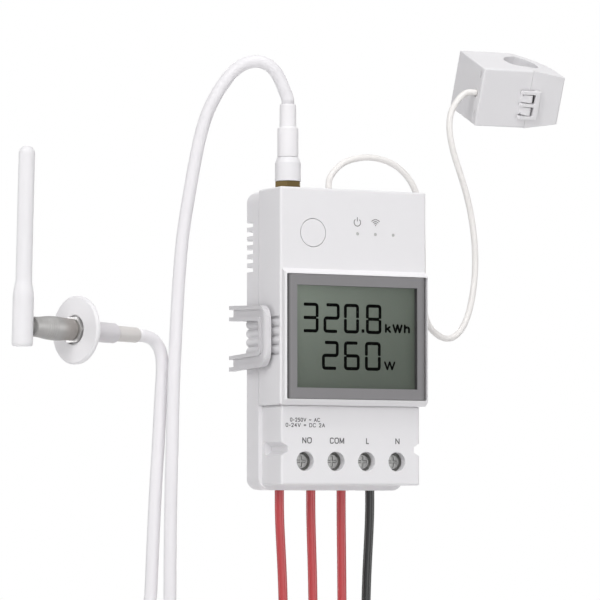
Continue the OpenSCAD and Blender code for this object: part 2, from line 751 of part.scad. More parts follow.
// Lower shell over the terminals, with a sealing notch in each side
module terminal_cover() {
    notch_z = screw_mid + 4;
    notch_h = 2.2;
    notch_in = term_side - 0.6;
    color(white) difference() {
        union() {
            difference() {
                eased_box([-term_half, term_half], [term_y, seam_y], [term_low, cover_low],
                    edge_r, edge_r, front = 1);
                along_y([inner_term_y, seam_y + 1])
                    span([term_side - term_half, term_half - term_side],
                        [term_low + wall, cover_low - wall]);
            }
            for (x = term_x)
                rod_y(x, screw_mid, screw_hole_d + wall, [inner_term_y - 0.1, inner_term_y + screw_sink]);
        }
        for (x = term_x)
            rod_y(x, screw_mid, screw_hole_d, [term_y - 1, inner_term_y + screw_sink + 1]);
        for (s = [0, 1])
            mirror([s, 0, 0]) along_y([term_y - 1, seam_y - 2])
                polygon([
                    [-term_half - 1, notch_z - notch_h], [-term_half, notch_z - notch_h],
                    [notch_in - term_half, notch_z - 0.9], [notch_in - term_half, notch_z + 0.9],
                    [-term_half, notch_z + notch_h], [-term_half - 1, notch_z + notch_h]
                ]);
    }
}

// Display

module display_bezel() {
    w = bezel_w / 2;
    h = bezel_h / 2;
    color(grey) difference() {
        intersection() {
            along_y([display_y, bezel_back])
                round_span([-w, w], [display_mid - h, display_mid + h], bezel_corner);
            along_z([display_mid - h - 1, display_mid + h + 1])
                round_span([-w, w], [display_y, bezel_back + 2 * bezel_roll], bezel_roll);
        }
        along_y([display_y - 1, bezel_back])
            span([-window_w / 2, window_w / 2], [display_mid - window_h / 2, display_mid + window_h / 2]);
        along_y([window_y, bezel_back + 1]) stack_outline(fit);
    }
}
module stack_outline(gap) {
    span([-stack_w / 2 - gap, stack_w / 2 + gap],
        [display_mid - stack_h / 2 - gap, display_mid + stack_h / 2 + gap]);
}
module display_window() {
    color("#d8e0dc") along_y([window_y, cell_y]) stack_outline(0);
}
module display_cell() {
    color("#6e766c") along_y([cell_y, light_y]) stack_outline(0);
}
module backlight() {
    color(soft_white) along_y([light_y, light_back]) stack_outline(0);
}
module display_pins() {
    strip_h = 2.4;
    row_half = pin_count * pin_pitch / 2;
    color(dark) {
        box([-row_half, row_half], [board_y - strip_h, board_y], [pin_row - 1.2, pin_row + 1.2]);
        for (i = [0:pin_count - 1])
            rod_y((i - (pin_count - 1) / 2) * pin_pitch, pin_row, 0.7, [light_back, board_y - strip_h + 0.2]);
    }
}

// Electronics on the board

module main_board() {
    notch = post_w / 2 + 0.4;
    color(board_green) difference() {
        box([-board_half, board_half], [board_y, board_back], [board_low, board_top]);
        for (sx = [-1, 1], sz = [-1, 1])
            box(sx > 0 ? [post_x - notch, half_w] : [-half_w, notch - post_x], [board_y - 1, board_back + 1],
                [display_mid + sz * post_z - notch, display_mid + sz * post_z + notch]);
    }
}
module on_board(x, z, size) {
    box([x - size.x / 2, x + size.x / 2], [board_y - size.y, board_y], [z - size.z / 2, z + size.z / 2]);
}
module power_relay() {
    color("#2b4d7c") on_board(-11, display_mid + 2.5, relay);
}
module supply_module() {
    color(dark) on_board(9, display_mid - 1.5, supply);
}
module supply_capacitor() {
    color(dark) rod_y(9, display_mid + 13, cap_d, [board_y - cap_h, board_y]);
}
module radio_module() {
    color(steel) on_board(-9, pin_row - 1.8 - radio.z / 2, radio);
}
module tact_switch() {
    color(dark) {
        on_board(button_x, button_mid, [6, 3.5, 6]);
        rod_y(button_x, button_mid, 3.4, [switch_y, board_y - 3.4]);
    }
}
switch_y = board_y - 5;
module indicator_leds() {
    color(soft_white) for (i = [0:2]) on_board(led_x + i * led_pitch, led_mid, [1.6, 0.9, 1.6]);
}
module light_pipes() {
    shoulder = inner_upper_y + slide;
    color(soft_white) for (i = [0:2]) {
        rod_y(led_x + i * led_pitch, led_mid, led_d, [upper_y, shoulder + 0.5]);
        rod_y(led_x + i * led_pitch, led_mid, 2.4, [shoulder, board_y - 1.2]);
    }
}

// Button with a flange behind the panel and a stem down to its switch
module button_cap() {
    flange_y = inner_upper_y + slide;
    color(white) {
        rod_y(button_x, button_mid, button_d, [upper_y, flange_y + 0.5]);
        rod_y(button_x, button_mid, button_d + 1.4, [flange_y, flange_y + 0.9]);
        rod_y(button_x, button_mid, 4, [flange_y, switch_y - button_travel - 0.2]);
    }
}

// Terminals

// Chambers that hold the clamp cages and carry the screw heads
module terminal_block() {
    chamber = [screw_mid - cage_h / 2 - 0.3, screw_mid + cage_h / 2 + 0.3];
    color(soft_white) difference() {
        box([-block_half, block_half], [block_front, inner_back_y], [block_low, block_top]);
        for (i = [0:3]) {
            x = term_x[i];
            box([x - chamber_w / 2, x + chamber_w / 2], [block_front + 1.8, inner_back_y + 1], chamber);
            rod_y(x, screw_mid, screw_d + 0.4, [block_front - 1, block_front + 2]);
            box([x - bar_w / 2 - slide, x + bar_w / 2 + slide], [bar_y - slide, bar_back + slide],
                [screw_mid, block_top + 1]);
            rod_z(x + wire_shift[i], wire_y, wire_d + 0.6, [block_low - 1, screw_mid]);
        }
    }
}

// Bars that run from the clamps up to solder tabs on the board
module contact_bars() {
    tab_z = board_low + 1;
    color(copper) for (x = term_x) {
        box([x - bar_w / 2, x + bar_w / 2], [bar_y, bar_back], [screw_mid - cage_h / 2 + 0.4, tab_z + tab_t]);
        box([x - bar_w / 2, x + bar_w / 2], [bar_back - 0.2, board_y], [tab_z, tab_z + tab_t]);
    }
}
module terminal_cage(i) {
    x = term_x[i];
    inner = cage_w / 2 - cage_t;
    color(steel) difference() {
        box([x - cage_w / 2, x + cage_w / 2], [cage_y, cage_back],
            [screw_mid - cage_h / 2, screw_mid + cage_h / 2]);
        box([x - inner, x + inner], [cage_y + 1.2 * cage_t, cage_back - cage_t],
            [screw_mid - cage_h, screw_mid + cage_h]);
        rod_y(x, screw_mid, screw_d + 2 * run, [cage_y - 1, cage_y + 2 * cage_t]);
    }
}
module terminal_screw(i) {
    x = term_x[i];
    color(steel) difference() {
        union() {
            rod_y(x, screw_mid, head_d, [head_y - head_h, head_y]);
            rod_y(x, screw_mid, screw_d, [head_y - 0.2, bar_y - 0.4]);
        }
        for (turn = [0, 90])
            translate([x, 0, screw_mid]) rotate([0, turn, 0])
                box([-head_d / 2 + 0.5, head_d / 2 - 0.5], [head_y - head_h - 1, head_y - head_h + 1.1],
                    [-0.4, 0.4]);
    }
}
module case_screws() {
    color(steel) {
        post_holes(case_head_d, [case_head_y, case_head_y + case_head_h]);
        post_holes(case_screw_d, [case_head_y - case_screw_l, case_head_y + 0.5]);
    }
}

// Rail latch: a U-shaped pull bow on the side, guide prongs in the housing and a jaw behind the rail

function bow_outline(inset, back) = let (
    r = max(5 - inset, 1.5),
    y0 = inset - bow_front,
    h0 = bow_h / 2 - inset,
    h1 = h0 + bow_flare
) concat(
    [[back, h1]],
    [for (a = [90:15:180]) [y0 + r + r * cos(a), h0 - r + r * sin(a)]],
    [for (a = [180:15:270]) [y0 + r + r * cos(a), r - h0 + r * sin(a)]],
    [[back, -h1]]
);
module rail_latch() {
    face = [bow_x - bow_t, bow_x];
    tip = bow_edge + 0.7;
    color(white) translate([0, 0, latch_z]) {
        difference() {
            intersection() {
                along_x(face) difference() {
                    polygon(bow_outline(0, bow_back));
                    polygon(bow_outline(bow_arm, bow_back + 1));
                }
                along_z([-bow_h, bow_h])
                    round_span([face[0], face[1] + 4], [-bow_front, bow_back + 4], bow_round);
            }
            along_x([face[0] - 1, face[0] + 0.6]) bow_web(bow_back + 1);
            intersection() {
                along_x([face[0] - 1, face[1] + 1]) bow_web(bow_back + 1);
                box([face[0] - 1, face[1] + 1], [bow_back - tip, bow_back + 1], [-bow_h, bow_h]);
            }
        }
        for (s = [-1, 1]) {
            box([bow_x - 0.2, bow_x + prong_l], [prong_y - prong_t, prong_y],
                [s * arm_mid - prong_w / 2, s * arm_mid + prong_w / 2]);
            box([bow_x - 0.2, -rail_half + hook_grip], [hook_y, hook_y + hook_t - 0.1],
                [s * arm_mid - prong_w / 2, s * arm_mid + prong_w / 2]);
        }
        box([-rail_half - 2, -rail_half + hook_grip], [hook_y, hook_y + hook_t - 0.1],
            [-arm_mid - prong_w / 2, arm_mid + prong_w / 2]);
    }
}
module bow_web(back) {
    difference() {
        polygon(bow_outline(bow_edge, back));
        polygon(bow_outline(bow_arm - bow_edge, back + 1));
    }
}

// Antenna plug on the top wall

module antenna_jack() {
    top = half_h - wall;
    base = 3;
    color(brass) {
        rod_z(plug_x, plug_y, jack_d, [top - 1, jack_top]);
        box([plug_x - base, plug_x + base], [plug_y - base, plug_y + base], [top - 4, top]);
        for (s = [-1, 1])
            box([plug_x + s * 2.2 - 0.6, plug_x + s * 2.2 + 0.6], [plug_y + base - 0.2, board_y],
                [top - 4, top - 2.6]);
    }
}
module jack_nut() {
    color(brass) difference() {
        translate([plug_x, plug_y, half_h]) cylinder(d = jack_nut_w / cos(30), h = jack_nut_h, $fn = 6);
        rod_z(plug_x, plug_y, jack_d + 2 * run, [half_h - 1, nut_top + 1]);
    }
}
module plug_coupling() {
    roof = jack_top + 1.2;
    color(white) difference() {
        translate([plug_x, plug_y, 0]) rotate_extrude() polygon([
            [0, coupling_low], [coupling_d / 2, coupling_low], [coupling_d / 2, coupling_top - 1.8],
            [boot_d / 2 + 0.1, coupling_top], [0, coupling_top]
        ]);
        rod_z(plug_x, plug_y, jack_d + 2 * run, [coupling_low - 1, roof]);
        rod_z(plug_x, plug_y, spigot_d + 2 * run, [roof - 1, coupling_top + 1]);
    }
}
module plug_boot() {
    low = jack_top + 0.1;
    base = coupling_top + slide;
    color(white) translate([plug_x, plug_y, 0]) rotate_extrude() polygon([
        [0, low], [jack_d / 2 - 0.2, low], [jack_d / 2 - 0.2, low + 0.8], [spigot_d / 2, low + 0.8],
        [spigot_d / 2, base], [boot_d / 2, base], [boot_d / 2, boot_top - 0.4], [boot_d / 2 - 0.4, boot_top],
        [sleeve_d / 2, boot_top], [sleeve_d / 2, sleeve_top - 0.3], [sleeve_d / 2 - 0.3, sleeve_top],
        [0, sleeve_top]
    ]);
}
module antenna_cable_down() {
    color(white) tube(down_route, cable_d, 10);
}
module antenna_cable_coil() {
    echo(least_coil_gap = coil_gap);
    color(white) tube(coil_route, cable_d, 6);
}
module antenna_cable_up() {
    color(white) tube(up_route, cable_d, 10);
}
module coil_tie() {
    room = 0.35;
    near = coil_mid.x - coil_radius(coil_turns / 2) + cable_d / 2 + room;
    far = coil_mid.x - coil_r - cable_d / 2 - room;
    deep = layer_step / 2 + cable_d / 2 + room;
    color(dark) along_z([coil_mid.z - tie_w / 2, coil_mid.z + tie_w / 2]) difference() {
        round_span([far - tie_t, near + tie_t], [-deep - tie_t, deep + tie_t], 1.5);
        round_span([far, near], [-deep, deep], 0.7);
    }
}

// Antenna on its panel flange: the axis is turned, and heights run towards the antenna

module on_axis() {
    translate(flange_at) rotate([0, antenna_rise, antenna_yaw]) children();
}
module turned() {
    rotate([0, -90, 0]) rotate_extrude() children();
}
module panel_flange() {
    r = flange_d / 2;
    low = -flange_t / 2;
    high = flange_t / 2;
    recess = panel_nut_w / cos(30) / 2 + 0.1;
    color(white) on_axis() turned() polygon([
        [panel_d / 2 + run, low], [r - 0.5, low], [r, low + 0.5], [r, high - 1], [r - 0.6, high - 0.4],
        [recess + 0.3, high], [recess, high - 0.2], [recess, low + flange_seat],
        [panel_d / 2 + run, low + flange_seat]
    ]);
}
module panel_nut() {
    low = flange_seat - flange_t / 2;
    color(steel) on_axis() rotate([0, -90, 0]) rotate([0, 0, 30]) difference() {
        translate([0, 0, low]) cylinder(d = panel_nut_w / cos(30), h = 2, $fn = 6);
        translate([0, 0, low - 1]) cylinder(d = panel_d + 2 * run, h = 4);
    }
}
module panel_connector() {
    seat = -flange_t / 2;
    color(brass) on_axis() {
        rotate([0, -90, 0]) translate([0, 0, seat - hex_back])
            cylinder(d = 11 / cos(30), h = hex_back, $fn = 6);
        turned() polygon([
            [0, seat - hex_back - 5.6], [2.4, seat - hex_back - 5.6], [2.4, seat - hex_back / 2],
            [panel_d / 2, seat - hex_back / 2], [panel_d / 2, spindle_foot - 0.3], [0, spindle_foot - 0.3]
        ]);
    }
}
module antenna_boot() {
    top = -flange_t / 2 - hex_back;
    step = top - tail_l;
    color(white) on_axis() turned() polygon([
        [0, tail_end], [tail_end_d / 2 - 0.3, tail_end], [tail_end_d / 2, tail_end + 0.4],
        [tail_end_d / 2, step], [tail_d / 2 - 0.5, step],
        [tail_d / 2, step + 0.5], [tail_d / 2, top], [2.4 + run, top],
        [2.4 + run, top - 5.8], [0, top - 5.8]
    ]);
}
module antenna_barrel() {
    top = barrel_at + barrel_l;
    neck = spindle_foot + 1.3;
    r = barrel_d / 2;
    color("#b5b2ae") on_axis() turned() polygon([
        [panel_d / 2 + run, barrel_at], [r - 0.35, barrel_at], [r - 0.25, barrel_at + 3],
        [r - 0.1, barrel_at + 4.6], [r, barrel_at + 7.3], [r - 0.05, top - 7],
        [r - 0.25, top - 4.8], [r - 0.52, top - 2.8],
        [r - 0.7, top], [spindle_d / 2 + run, top], [spindle_d / 2 + run, neck], [panel_d / 2 + run, neck]
    ]);
}
module antenna_spindle() {
    end = blade_at + 1.6;
    collar = barrel_at + barrel_l + 0.1;
    collar_t = 0.45;
    collar_d = barrel_d - 1.5;
    color(dark) on_axis() turned() polygon([
        [0, spindle_foot], [panel_d / 2 - 0.2, spindle_foot], [panel_d / 2 - 0.2, spindle_foot + 1.2],
        [spindle_d / 2, spindle_foot + 1.2], [spindle_d / 2, collar], [collar_d / 2, collar],
        [collar_d / 2, collar + collar_t], [spindle_d / 2, collar + collar_t], [spindle_d / 2, end], [0, end]
    ]);
}
module antenna_blade() {
    foot = blade_foot_d / 2;
    tip = blade_tip_d / 2;
    color(white) on_axis() translate([-blade_at, 0, 0]) difference() {
        rotate_extrude() polygon(concat(
            [[0, -blade_down], [foot - 0.6, -blade_down], [foot - 0.2, 0.2 - blade_down],
                [foot, 0.8 - blade_down]],
            [for (t = [0:0.2:1])
                [foot + (tip - foot) * t * t * (3 - 2 * t), blade_foot_h + blade_taper * t]],
            [[tip, blade_up - tip]],
            [for (a = [15:15:75]) [tip * cos(a), blade_up - tip + tip * sin(a)]],
            [[0, blade_up]]
        ));
        rod_x(0, 0, spindle_d + 2 * run, [-2, foot + 1]);
        rod_z(0, 0, rod_d + 0.3, [0, blade_up - 5]);
    }
}
module antenna_rod() {
    color(copper) on_axis() rod_z(-blade_at, 0, rod_d, [spindle_d / 2 + 0.3, blade_up - 5.2]);
}

// Split-core clamp: its length runs along x, its front is at y = 0, and the conductor passes along z

module on_clamp_frame() {
    translate(clamp_at) rotate([clamp_lean, 0, clamp_turn]) children();
}
module aperture() {
    rod_z(0, aperture_y, aperture_d, [-clamp_h, clamp_h]);
}
module knuckle(z) {
    difference() {
        rod_z(0, hinge_y, knuckle_d, z);
        rod_z(0, hinge_y, hinge_d + 2 * run, [z[0] - 1, z[1] + 1]);
    }
}
knuckle_mid = 3.8;
knuckle_end = 9;
module fixed_core_outline(gap) {
    reach = core_r + core_t;
    difference() {
        span([yoke_x - gap, -part_gap / 2 + gap], [aperture_y - reach - gap, aperture_y + reach + gap]);
        span([yoke_x + 1.5 * core_t + gap, 1], [aperture_y - core_r + gap, aperture_y + core_r - gap]);
    }
}
module jaw_core_outline(gap) {
    difference() {
        translate([0, aperture_y]) circle(core_r + core_t + gap);
        translate([0, aperture_y]) circle(core_r - gap);
        span([-20, part_gap / 2 - gap], [0, clamp_d]);
    }
}
module winding_outline(gap) {
    mid = yoke_x + 0.75 * core_t;
    span([mid - winding_w / 2 - gap, mid + winding_w / 2 + gap], [aperture_y - winding_l / 2 - gap,
        aperture_y + winding_l / 2 + gap]);
}
winding_h = core_h + 2 * winding_over;
module clamp_body() {
    end = -part_gap / 2;
    color(white) on_clamp_frame() {
        difference() {
            union() {
                eased_box([-clamp_l, end], [0, clamp_d], [-clamp_h / 2, clamp_h / 2], edge_r, edge_r,
                    front = 1, back = 1, right = 1);
                for (s = [-1, 1])
                    box([-knuckle_d / 2, end], [clamp_d - 1, hinge_y],
                        s > 0 ? [knuckle_mid + 0.2, knuckle_end] : [-knuckle_end, -knuckle_mid - 0.2]);
                catches();
            }
            aperture();
            along_z([-core_h / 2 - slide, core_h / 2 + slide]) fixed_core_outline(slide);
            along_z([-winding_h / 2 - slide, winding_h / 2 + slide]) winding_outline(slide);
            rod_z(0, hinge_y, knuckle_d + 0.6, [-knuckle_mid - 0.2, knuckle_mid + 0.2]);
            rod_z(0, hinge_y, hinge_d + 1, [-clamp_h, clamp_h]);
            rod_x(entry.y, entry.z, lead_d + 0.6, [-clamp_l - 1, -clamp_l + 1.8]);
            for (z = [slot_high, slot_low])
                box([-clamp_l - 1, slot_deep - clamp_l], [1.9, 2.4], [z - 1.2, z + 1.2]);
        }
        for (s = [-1, 1])
            knuckle(s > 0 ? [knuckle_mid + 0.2, knuckle_end] : [-knuckle_end, -knuckle_mid - 0.2]);
    }
}
// Two round-nosed catches, each between two bars of the latch
module catches() {
    for (s = [-1, 1])
        along_z([clasp_z + s * eye_z - eye_half + 0.3, clasp_z + s * eye_z + eye_half - 0.3])
            polygon([
                [-3.2, 0.2], [-3.2, -0.3], [-1.3, -1.5], [-0.5, -1.85], [0.1, -1.9], [0.5, -1.7], [0.7, -1.3],
                [0.6, -0.8], [0.2, -0.3], [-part_gap / 2, -0.2], [-part_gap / 2, 0.2]
            ]);
}
module jaw_outline() {
    corner = sqrt(jaw_r * jaw_r - (jaw_l + 1.5) * (jaw_l + 1.5) + 0.0001);
    mid_y = clamp_d - sqrt(jaw_r * jaw_r - 2.25);
    intersection() {
        round_span([part_gap / 2 - 2, jaw_l], [0, clamp_d + 3], edge_r);
        span([part_gap / 2, jaw_l], [0, clamp_d]);
        union() {
            span([0, jaw_l], [0, mid_y + corner]);
            translate([-1.5, mid_y]) circle(jaw_r, $fn = 96);
        }
    }
}
module clamp_jaw() {
    start = part_gap / 2;
    color(white) on_clamp_frame() {
        difference() {
            union() {
                intersection() {
                    along_z([-clamp_h / 2, clamp_h / 2]) jaw_outline();
                    along_y([0, clamp_d]) polygon([
                        [0, -clamp_h / 2], [jaw_l, -jaw_end_h / 2], [jaw_l, jaw_end_h / 2], [0, clamp_h / 2]
                    ]);
                }
                box([start, knuckle_d / 2], [clamp_d - 2, hinge_y], [-knuckle_mid, knuckle_mid]);
            }
            aperture();
            along_z([-core_h / 2 - slide, core_h / 2 + slide]) jaw_core_outline(slide);
            for (s = [-1, 1])
                rod_z(0, hinge_y, knuckle_d + 0.6,
                    s > 0 ? [knuckle_mid, clamp_h] : [-clamp_h, -knuckle_mid]);
            rod_z(0, hinge_y, hinge_d + 1, [-clamp_h, clamp_h]);
        }
        knuckle([-knuckle_mid, knuckle_mid]);
    }
}
module clamp_core() {
    color(dark) on_clamp_frame() along_z([-core_h / 2, core_h / 2]) fixed_core_outline(0);
}
module jaw_core() {
    color(dark) on_clamp_frame() along_z([-core_h / 2, core_h / 2]) jaw_core_outline(0);
}
module clamp_winding() {
    color(copper) on_clamp_frame() difference() {
        along_z([-winding_h / 2, winding_h / 2]) winding_outline(0);
        along_z([-core_h / 2 - slide, core_h / 2 + slide]) fixed_core_outline(slide);
    }
}
module clamp_hinge_pin() {
    color(steel) on_clamp_frame() rod_z(0, hinge_y, hinge_d, [-knuckle_end, knuckle_end]);
}

// Latch on the jaw: three bars on a spine that reach past the catches
module clamp_clasp() {
    lift = 0.7;
    half = clasp_h / 2;
    color(white) on_clamp_frame() translate([0, 0, clasp_z]) {
        difference() {
            along_z([-half, half]) polygon([
                [-3.9, -lift], [-3.3, -lift - clasp_t], [3.1, -lift - clasp_t], [3.4, -lift - clasp_t + 0.3],
                [3.4, -lift]
            ]);
            for (s = [-1, 1])
                box([-5, 1.5], [-lift - clasp_t - 1, 0], [s * eye_z - eye_half, s * eye_z + eye_half]);
        }
        box([1.7, 3.4], [-lift - 0.2, 0], [-half, half]);
    }
}

// Sensor cable, its grommet, and the wires

module sensor_grommet() {
    top = half_h - wall;
    color(soft_white) translate([lead_x, lead_y, 0]) rotate_extrude() polygon([
        [0, top - 1], [grommet_d / 2 + 0.8, top - 1], [grommet_d / 2 + 0.8, top], [grommet_d / 2, top],
        [grommet_d / 2, half_h], [grommet_d / 2 + 0.5, half_h], [grommet_d / 2 + 0.1, grommet_top],
        [0, grommet_top]
    ]);
}
module sensor_cable() {
    color(white) tube(lead_route, lead_d, 8);
}
module wire(i) {
    color(i < 3 ? red : dark) tube(wire_route(i), wire_d, 8);
}
module wire_ferrules() {
    color(steel) for (i = [0:3]) {
        x = term_x[i] + wire_drift[i];
        rod_z(x, wire_y, wire_d + 0.7, [wire_end - ferrule_h, wire_end]);
        rod_z(x, wire_y, wire_d - 0.8, [wire_end - ferrule_h - ferrule_pin, wire_end - ferrule_h + 0.2]);
    }
}

rear_housing();
front_cover();
terminal_cover();
display_bezel();
display_window();
display_cell();
backlight();
display_pins();
light_pipes();
indicator_leds();
main_board();
power_relay();
supply_module();
supply_capacitor();
radio_module();
tact_switch();
button_cap();
terminal_block();
contact_bars();
terminal_cage(0);  // terminal_cage_1
terminal_cage(1);  // terminal_cage_2
terminal_cage(2);  // terminal_cage_3
terminal_cage(3);  // terminal_cage_4
terminal_screw(0);  // terminal_screw_1
terminal_screw(1);  // terminal_screw_2
terminal_screw(2);  // terminal_screw_3
terminal_screw(3);  // terminal_screw_4
case_screws();
rail_latch();
antenna_jack();
jack_nut();
plug_coupling();
plug_boot();
antenna_cable_down();
antenna_cable_coil();
coil_tie();
antenna_cable_up();
antenna_boot();
panel_connector();
panel_flange();
panel_nut();
antenna_barrel();
antenna_spindle();
antenna_blade();
antenna_rod();
clamp_body();
clamp_jaw();
clamp_core();
jaw_core();
clamp_winding();
clamp_hinge_pin();
clamp_clasp();
sensor_grommet();
sensor_cable();
wire(0);  // wire_1
wire(1);  // wire_2
wire(2);  // wire_3
wire(3);  // wire_4
wire_ferrules();
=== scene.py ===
import bmesh
import bpy
import numpy as np
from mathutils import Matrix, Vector


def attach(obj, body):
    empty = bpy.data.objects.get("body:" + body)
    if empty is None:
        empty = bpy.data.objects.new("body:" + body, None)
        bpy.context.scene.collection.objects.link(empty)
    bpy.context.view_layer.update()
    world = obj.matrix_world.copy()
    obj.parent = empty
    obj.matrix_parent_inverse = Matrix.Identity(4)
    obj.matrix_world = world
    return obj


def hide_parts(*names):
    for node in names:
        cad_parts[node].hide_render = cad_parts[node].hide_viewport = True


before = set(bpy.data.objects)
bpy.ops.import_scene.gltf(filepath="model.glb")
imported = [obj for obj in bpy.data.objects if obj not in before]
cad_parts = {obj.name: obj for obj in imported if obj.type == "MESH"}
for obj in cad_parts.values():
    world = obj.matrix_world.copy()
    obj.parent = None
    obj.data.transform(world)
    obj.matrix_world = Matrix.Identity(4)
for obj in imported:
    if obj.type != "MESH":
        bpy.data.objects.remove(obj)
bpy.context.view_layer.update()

MM = 0.001

# Camera and light
# The camera stands a little under the display's middle and to its left, with a long lens. Soft light comes
# from above, from the left front and weakly from behind. Two strips show only as gloss, and a pale floor
# lies under the cable.
yaw = np.radians(27.6)
rise = np.radians(3.39)
camera_distance = 1.197
heading = np.array([np.sin(yaw) * np.cos(rise), np.cos(yaw) * np.cos(rise), np.sin(rise)])
aim = np.array([-13.63, -13.0, 13.08]) * MM
camera = bpy.data.objects.new("camera", bpy.data.cameras.new("camera"))
camera.data.sensor_width = 36.0
camera.data.lens = 219.7
camera.data.clip_start = 0.05
camera.data.clip_end = 40.0
camera.location = Vector(aim - camera_distance * heading)
camera.rotation_euler = Vector(heading).to_track_quat("-Z", "Y").to_euler()
bpy.context.scene.collection.objects.link(camera)
bpy.context.scene.camera = camera
bpy.context.scene.view_settings.view_transform = "Standard"
lit_middle = Vector((0, 0, 0.02))
lamp_distance = 1.6
strip_distance = 1.5
floor_half = 1.2
floor_z = -0.1716


def soft_lamp(name, direction, distance, width, height, power):
    """A flat lamp that stands off the object along a direction and faces its middle."""
    lamp = bpy.data.objects.new(name, bpy.data.lights.new(name, "AREA"))
    lamp.data.shape = "RECTANGLE"
    lamp.data.size = width
    lamp.data.size_y = height
    lamp.data.energy = power
    away = Vector(direction).normalized()
    lamp.location = lit_middle + distance * away
    lamp.rotation_euler = (-away).to_track_quat("-Z", "Y").to_euler()
    bpy.context.scene.collection.objects.link(lamp)
    return lamp


soft_lamp("top_lamp", (0.0, -0.3, 0.95), lamp_distance, 1.0, 1.0, 13.3)
back_lamp = soft_lamp("back_lamp", (0.5, 0.85, 0.1), lamp_distance, 0.8, 0.8, 7.0)
back_lamp.visible_camera = False
soft_lamp("key_lamp", (-0.6, -0.6, 0.5), lamp_distance, 0.9, 0.9, 10.2)
soft_lamp("front_lamp", (-0.1, -1.0, 0.1), lamp_distance, 1.0, 1.0, 5.8)
soft_lamp("side_lamp", (-0.96, 0.2, 0.03), 0.25, 0.16, 0.16, 0.05)
for side, direction in (("left", (-0.95, 0.3, 0.02)), ("right", (0.8, -0.6, 0.02))):
    strip = soft_lamp(side + "_gloss_strip", direction, strip_distance, 0.6, 1.4, 9.0)
    strip.visible_diffuse = False


def added(tree, kind, values=(), sources=(), **settings):
    """A new node of a tree, with its own settings, plain values on some inputs and links into others."""
    node = tree.nodes.new("ShaderNode" + kind)
    for setting, value in settings.items():
        setattr(node, setting, value)
    for socket, value in dict(values).items():
        node.inputs[socket].default_value = value
    feed(tree, node, dict(sources))
    return node


def feed(tree, node, sources):
    """Links outputs of other nodes to named inputs of a node."""
    for socket, source in sources.items():
        tree.links.new(source, node.inputs[socket])


def new_finish(name, values):
    """A finish, its tree and its shader, which has plain values on some inputs."""
    finish = bpy.data.materials.new(name)
    finish.use_nodes = True
    shader = finish.node_tree.nodes["Principled BSDF"]
    for socket, value in values.items():
        shader.inputs[socket].default_value = value
    return finish, finish.node_tree, shader


def seen_white(tree, plain, seen):
    """Rays from the camera, from gloss and through clear parts get the seen shader, the rest get plain."""
    path = added(tree, "LightPath").outputs
    two = {0: path["Is Camera Ray"], 1: path["Is Glossy Ray"]}
    first = added(tree, "Math", {}, two, operation="MAXIMUM")
    three = {0: first.outputs[0], 1: path["Is Transmission Ray"]}
    every = added(tree, "Math", {}, three, operation="MAXIMUM")
    return added(tree, "MixShader", {}, {0: every.outputs[0], 1: plain.outputs[0], 2: seen.outputs[0]})


world = bpy.data.worlds.new("studio")
bpy.context.scene.world = world
world.use_nodes = True
sky = world.node_tree
ambient = sky.nodes["Background"]
ambient.inputs["Color"].default_value = (0.98, 0.97, 1.0, 1.0)
ambient.inputs["Strength"].default_value = 0.155
paper = added(sky, "Background", {"Color": (1.0, 1.0, 1.0, 1.0), "Strength": 1.0})
feed(sky, sky.nodes["World Output"], {"Surface": seen_white(sky, ambient, paper).outputs[0]})

floor_mesh = bpy.data.meshes.new("floor")
floor_corners = np.array([[-1, -1, 0], [1, -1, 0], [1, 1, 0], [-1, 1, 0]]) * floor_half + [0, 0, floor_z]
floor_mesh.from_pydata(floor_corners.tolist(), [], [(0, 1, 2, 3)])
floor = bpy.data.objects.new("floor", floor_mesh)
bpy.context.scene.collection.objects.link(floor)
floor_finish, ground, ground_shader = new_finish("pale_floor", {
    "Base Color": (0.86, 0.86, 0.86, 1.0), "Roughness": 0.9})
ground_glow = added(ground, "Emission", {"Strength": 0.55})
ground_sum = added(ground, "AddShader", {}, {0: ground_shader.outputs[0], 1: ground_glow.outputs[0]})
ground_mix = seen_white(ground, ground_shader, ground_sum)
feed(ground, ground.nodes["Material Output"], {"Surface": ground_mix.outputs[0]})
floor_mesh.materials.append(floor_finish)

# Antenna lead
# A round coaxial lead with a satin white vinyl jacket, extruded in one length. It leaves the plug's sleeve,
# hangs to a tied coil and rises into the boot behind the antenna's panel disc, which is moulded on.
lead_white = (0.81, 0.795, 0.815)
lead_d = 4.2 * MM
plug_axis = np.array([-18.1, -13.0])
sleeve_top = 77.1
antenna_foot = np.array([-90.8, -6.5, 1.7])
antenna_tilt = 1.5
antenna_turn = 17.5
coil_middle = np.array([-85.5, 0.0, -138.0])
coil_turns = 4.75
coil_radius = 30.0
turn_gap = 4.75
layer_gap = 4.8
climb_turns = 0.5
coil_knots = 115
coil_run = 4.2
knot_step = 1.5


def turned_about_z(points, degrees):
    """Points turned about the vertical axis by an angle."""
    a = np.radians(degrees)
    return points @ np.array([[np.cos(a), np.sin(a), 0], [-np.sin(a), np.cos(a), 0], [0, 0, 1]])


def turned_about_y(points, degrees):
    """Points turned about the Y axis by an angle."""
    a = np.radians(degrees)
    return points @ np.array([[np.cos(a), 0, -np.sin(a)], [0, 1, 0], [np.sin(a), 0, np.cos(a)]])


def on_antenna(points):
    """Places on the antenna's sloping axis, from millimetres along and across it, in the part's frame."""
    tilted = turned_about_y(np.atleast_2d(points), antenna_tilt)
    return antenna_foot + turned_about_z(tilted, antenna_turn)


def smooth_step(t):
    """A rise from 0 to 1 that starts and ends level: three times the square less twice the cube."""
    t = np.clip(t, 0, 1)
    return t * t * (3 - 2 * t)


